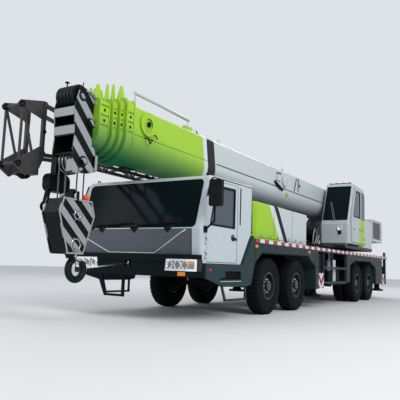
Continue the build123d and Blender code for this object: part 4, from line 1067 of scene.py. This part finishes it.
class CRANE_OT_stage(bpy.types.Operator):
    """A plain floor, a soft world light, two area lights and the camera low in front of the crane."""

    bl_idname = "crane.stage"
    bl_label = "Floor, lights and camera"

    def execute(self, context):
        tone = settings().floor_tone
        a = FLOOR_HALF
        floor = Surface().grid([[(-a, -a, 0), (-a, a, 0)], [(a, -a, 0), (a, a, 0)]], smooth=False)
        mesh = bpy.data.meshes.new("floor")
        mesh.from_pydata(np.vstack(floor.points).tolist(), [], [f[::-1] for f in floor.faces])
        mesh.materials.append(material("floor", (tone, tone, tone), 0.8, dirt=0.0))
        ground = bpy.data.objects.new("floor", mesh)
        world = bpy.data.worlds.new("studio")
        world.use_nodes = True
        world.node_tree.nodes["Background"].inputs["Color"].default_value = (0.86, 0.9, 0.95, 1)
        world.node_tree.nodes["Background"].inputs["Strength"].default_value = 0.85
        context.scene.world = world
        made = [ground]
        # one row a light: name, place, aimed at, size, power
        for name, place, aim, size, power in (
            ("key", (10, 16, 13), (0, 0, 1.5), 9.0, 2600), ("fill", (18, -9, 9), (2, 0, 1.5), 9.0, 900),
            ("back", (-16, -8, 12), (0, 0, 2), 9.0, 900),
        ):
            data = bpy.data.lights.new(name, "AREA")
            data.size, data.energy = size, power
            lamp = bpy.data.objects.new(name, data)
            lamp.location = place
            lamp.rotation_mode = "QUATERNION"
            lamp.rotation_quaternion = (Vector(aim) - Vector(place)).to_track_quat("-Z", "Y")
            made.append(lamp)
        data = bpy.data.cameras.new("camera")
        data.sensor_width, data.lens = 36.0, 46.72
        data.clip_start, data.clip_end = 0.1, 400
        camera = bpy.data.objects.new("camera", data)
        yaw, pitch, roll = AIM
        ahead = Vector((-math.cos(yaw) * math.cos(pitch), -math.sin(yaw) * math.cos(pitch), math.sin(pitch)))
        right = ahead.cross(Vector((0, 0, 1))).normalized()
        up = right.cross(ahead)
        across = right * math.cos(roll) + up * math.sin(roll)
        over = up * math.cos(roll) - right * math.sin(roll)
        turn = Matrix((across, over, -ahead)).transposed().to_4x4()
        camera.matrix_world = Matrix.Translation(EYE) @ turn
        made.append(camera)
        for o in made:
            context.scene.collection.objects.link(o)
        context.scene.camera = camera
        context.scene.view_settings.view_transform = "Standard"
        return {"FINISHED"}


PIECES = (
    CRANE_OT_tyres, CRANE_OT_wheel_trim, CRANE_OT_glazing, CRANE_OT_cab_trim, CRANE_OT_lamps, CRANE_OT_deck_trim,
    CRANE_OT_cover_trim, CRANE_OT_superstructure_trim, CRANE_OT_boom_trim, CRANE_OT_head_trim, CRANE_OT_block_trim,
    CRANE_OT_rigging, CRANE_OT_jib_trim, CRANE_OT_stage,
)


class CRANE_PT_panel(bpy.types.Panel):
    """The crane's sizes and colours, and one button a group of pieces."""

    bl_idname = "CRANE_PT_panel"
    bl_label = "Mobile crane"
    bl_space_type = "VIEW_3D"
    bl_region_type = "UI"
    bl_category = "Crane"

    def draw(self, context):
        for kind, values in ((CraneSettings, settings()), (CraneColours, context.scene.crane_colours)):
            for name in kind.__annotations__:
                self.layout.prop(values, name)
        for piece in PIECES:
            self.layout.operator(piece.bl_idname)


def register():
    for c in (CraneSettings, CraneColours, *PIECES, CRANE_PT_panel):
        bpy.utils.register_class(c)
    bpy.types.Scene.crane_settings = bpy.props.PointerProperty(type=CraneSettings)
    bpy.types.Scene.crane_colours = bpy.props.PointerProperty(type=CraneColours)


def unregister():
    del bpy.types.Scene.crane_settings, bpy.types.Scene.crane_colours
    for c in (CRANE_PT_panel, *reversed(PIECES), CraneColours, CraneSettings):
        bpy.utils.unregister_class(c)


def main():
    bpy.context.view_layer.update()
    register()
    MATERIALS.update(make_materials())
    for name, obj in frame["nodes"].items():
        finish = next(f for start, f in FINISHES if name.startswith(start))
        for slot in obj.material_slots:
            slot.material = MATERIALS[finish]
    for piece in PIECES:
        area, name = piece.bl_idname.split(".")
        getattr(getattr(bpy.ops, area), name)()


if __name__ == "__main__":
    main()
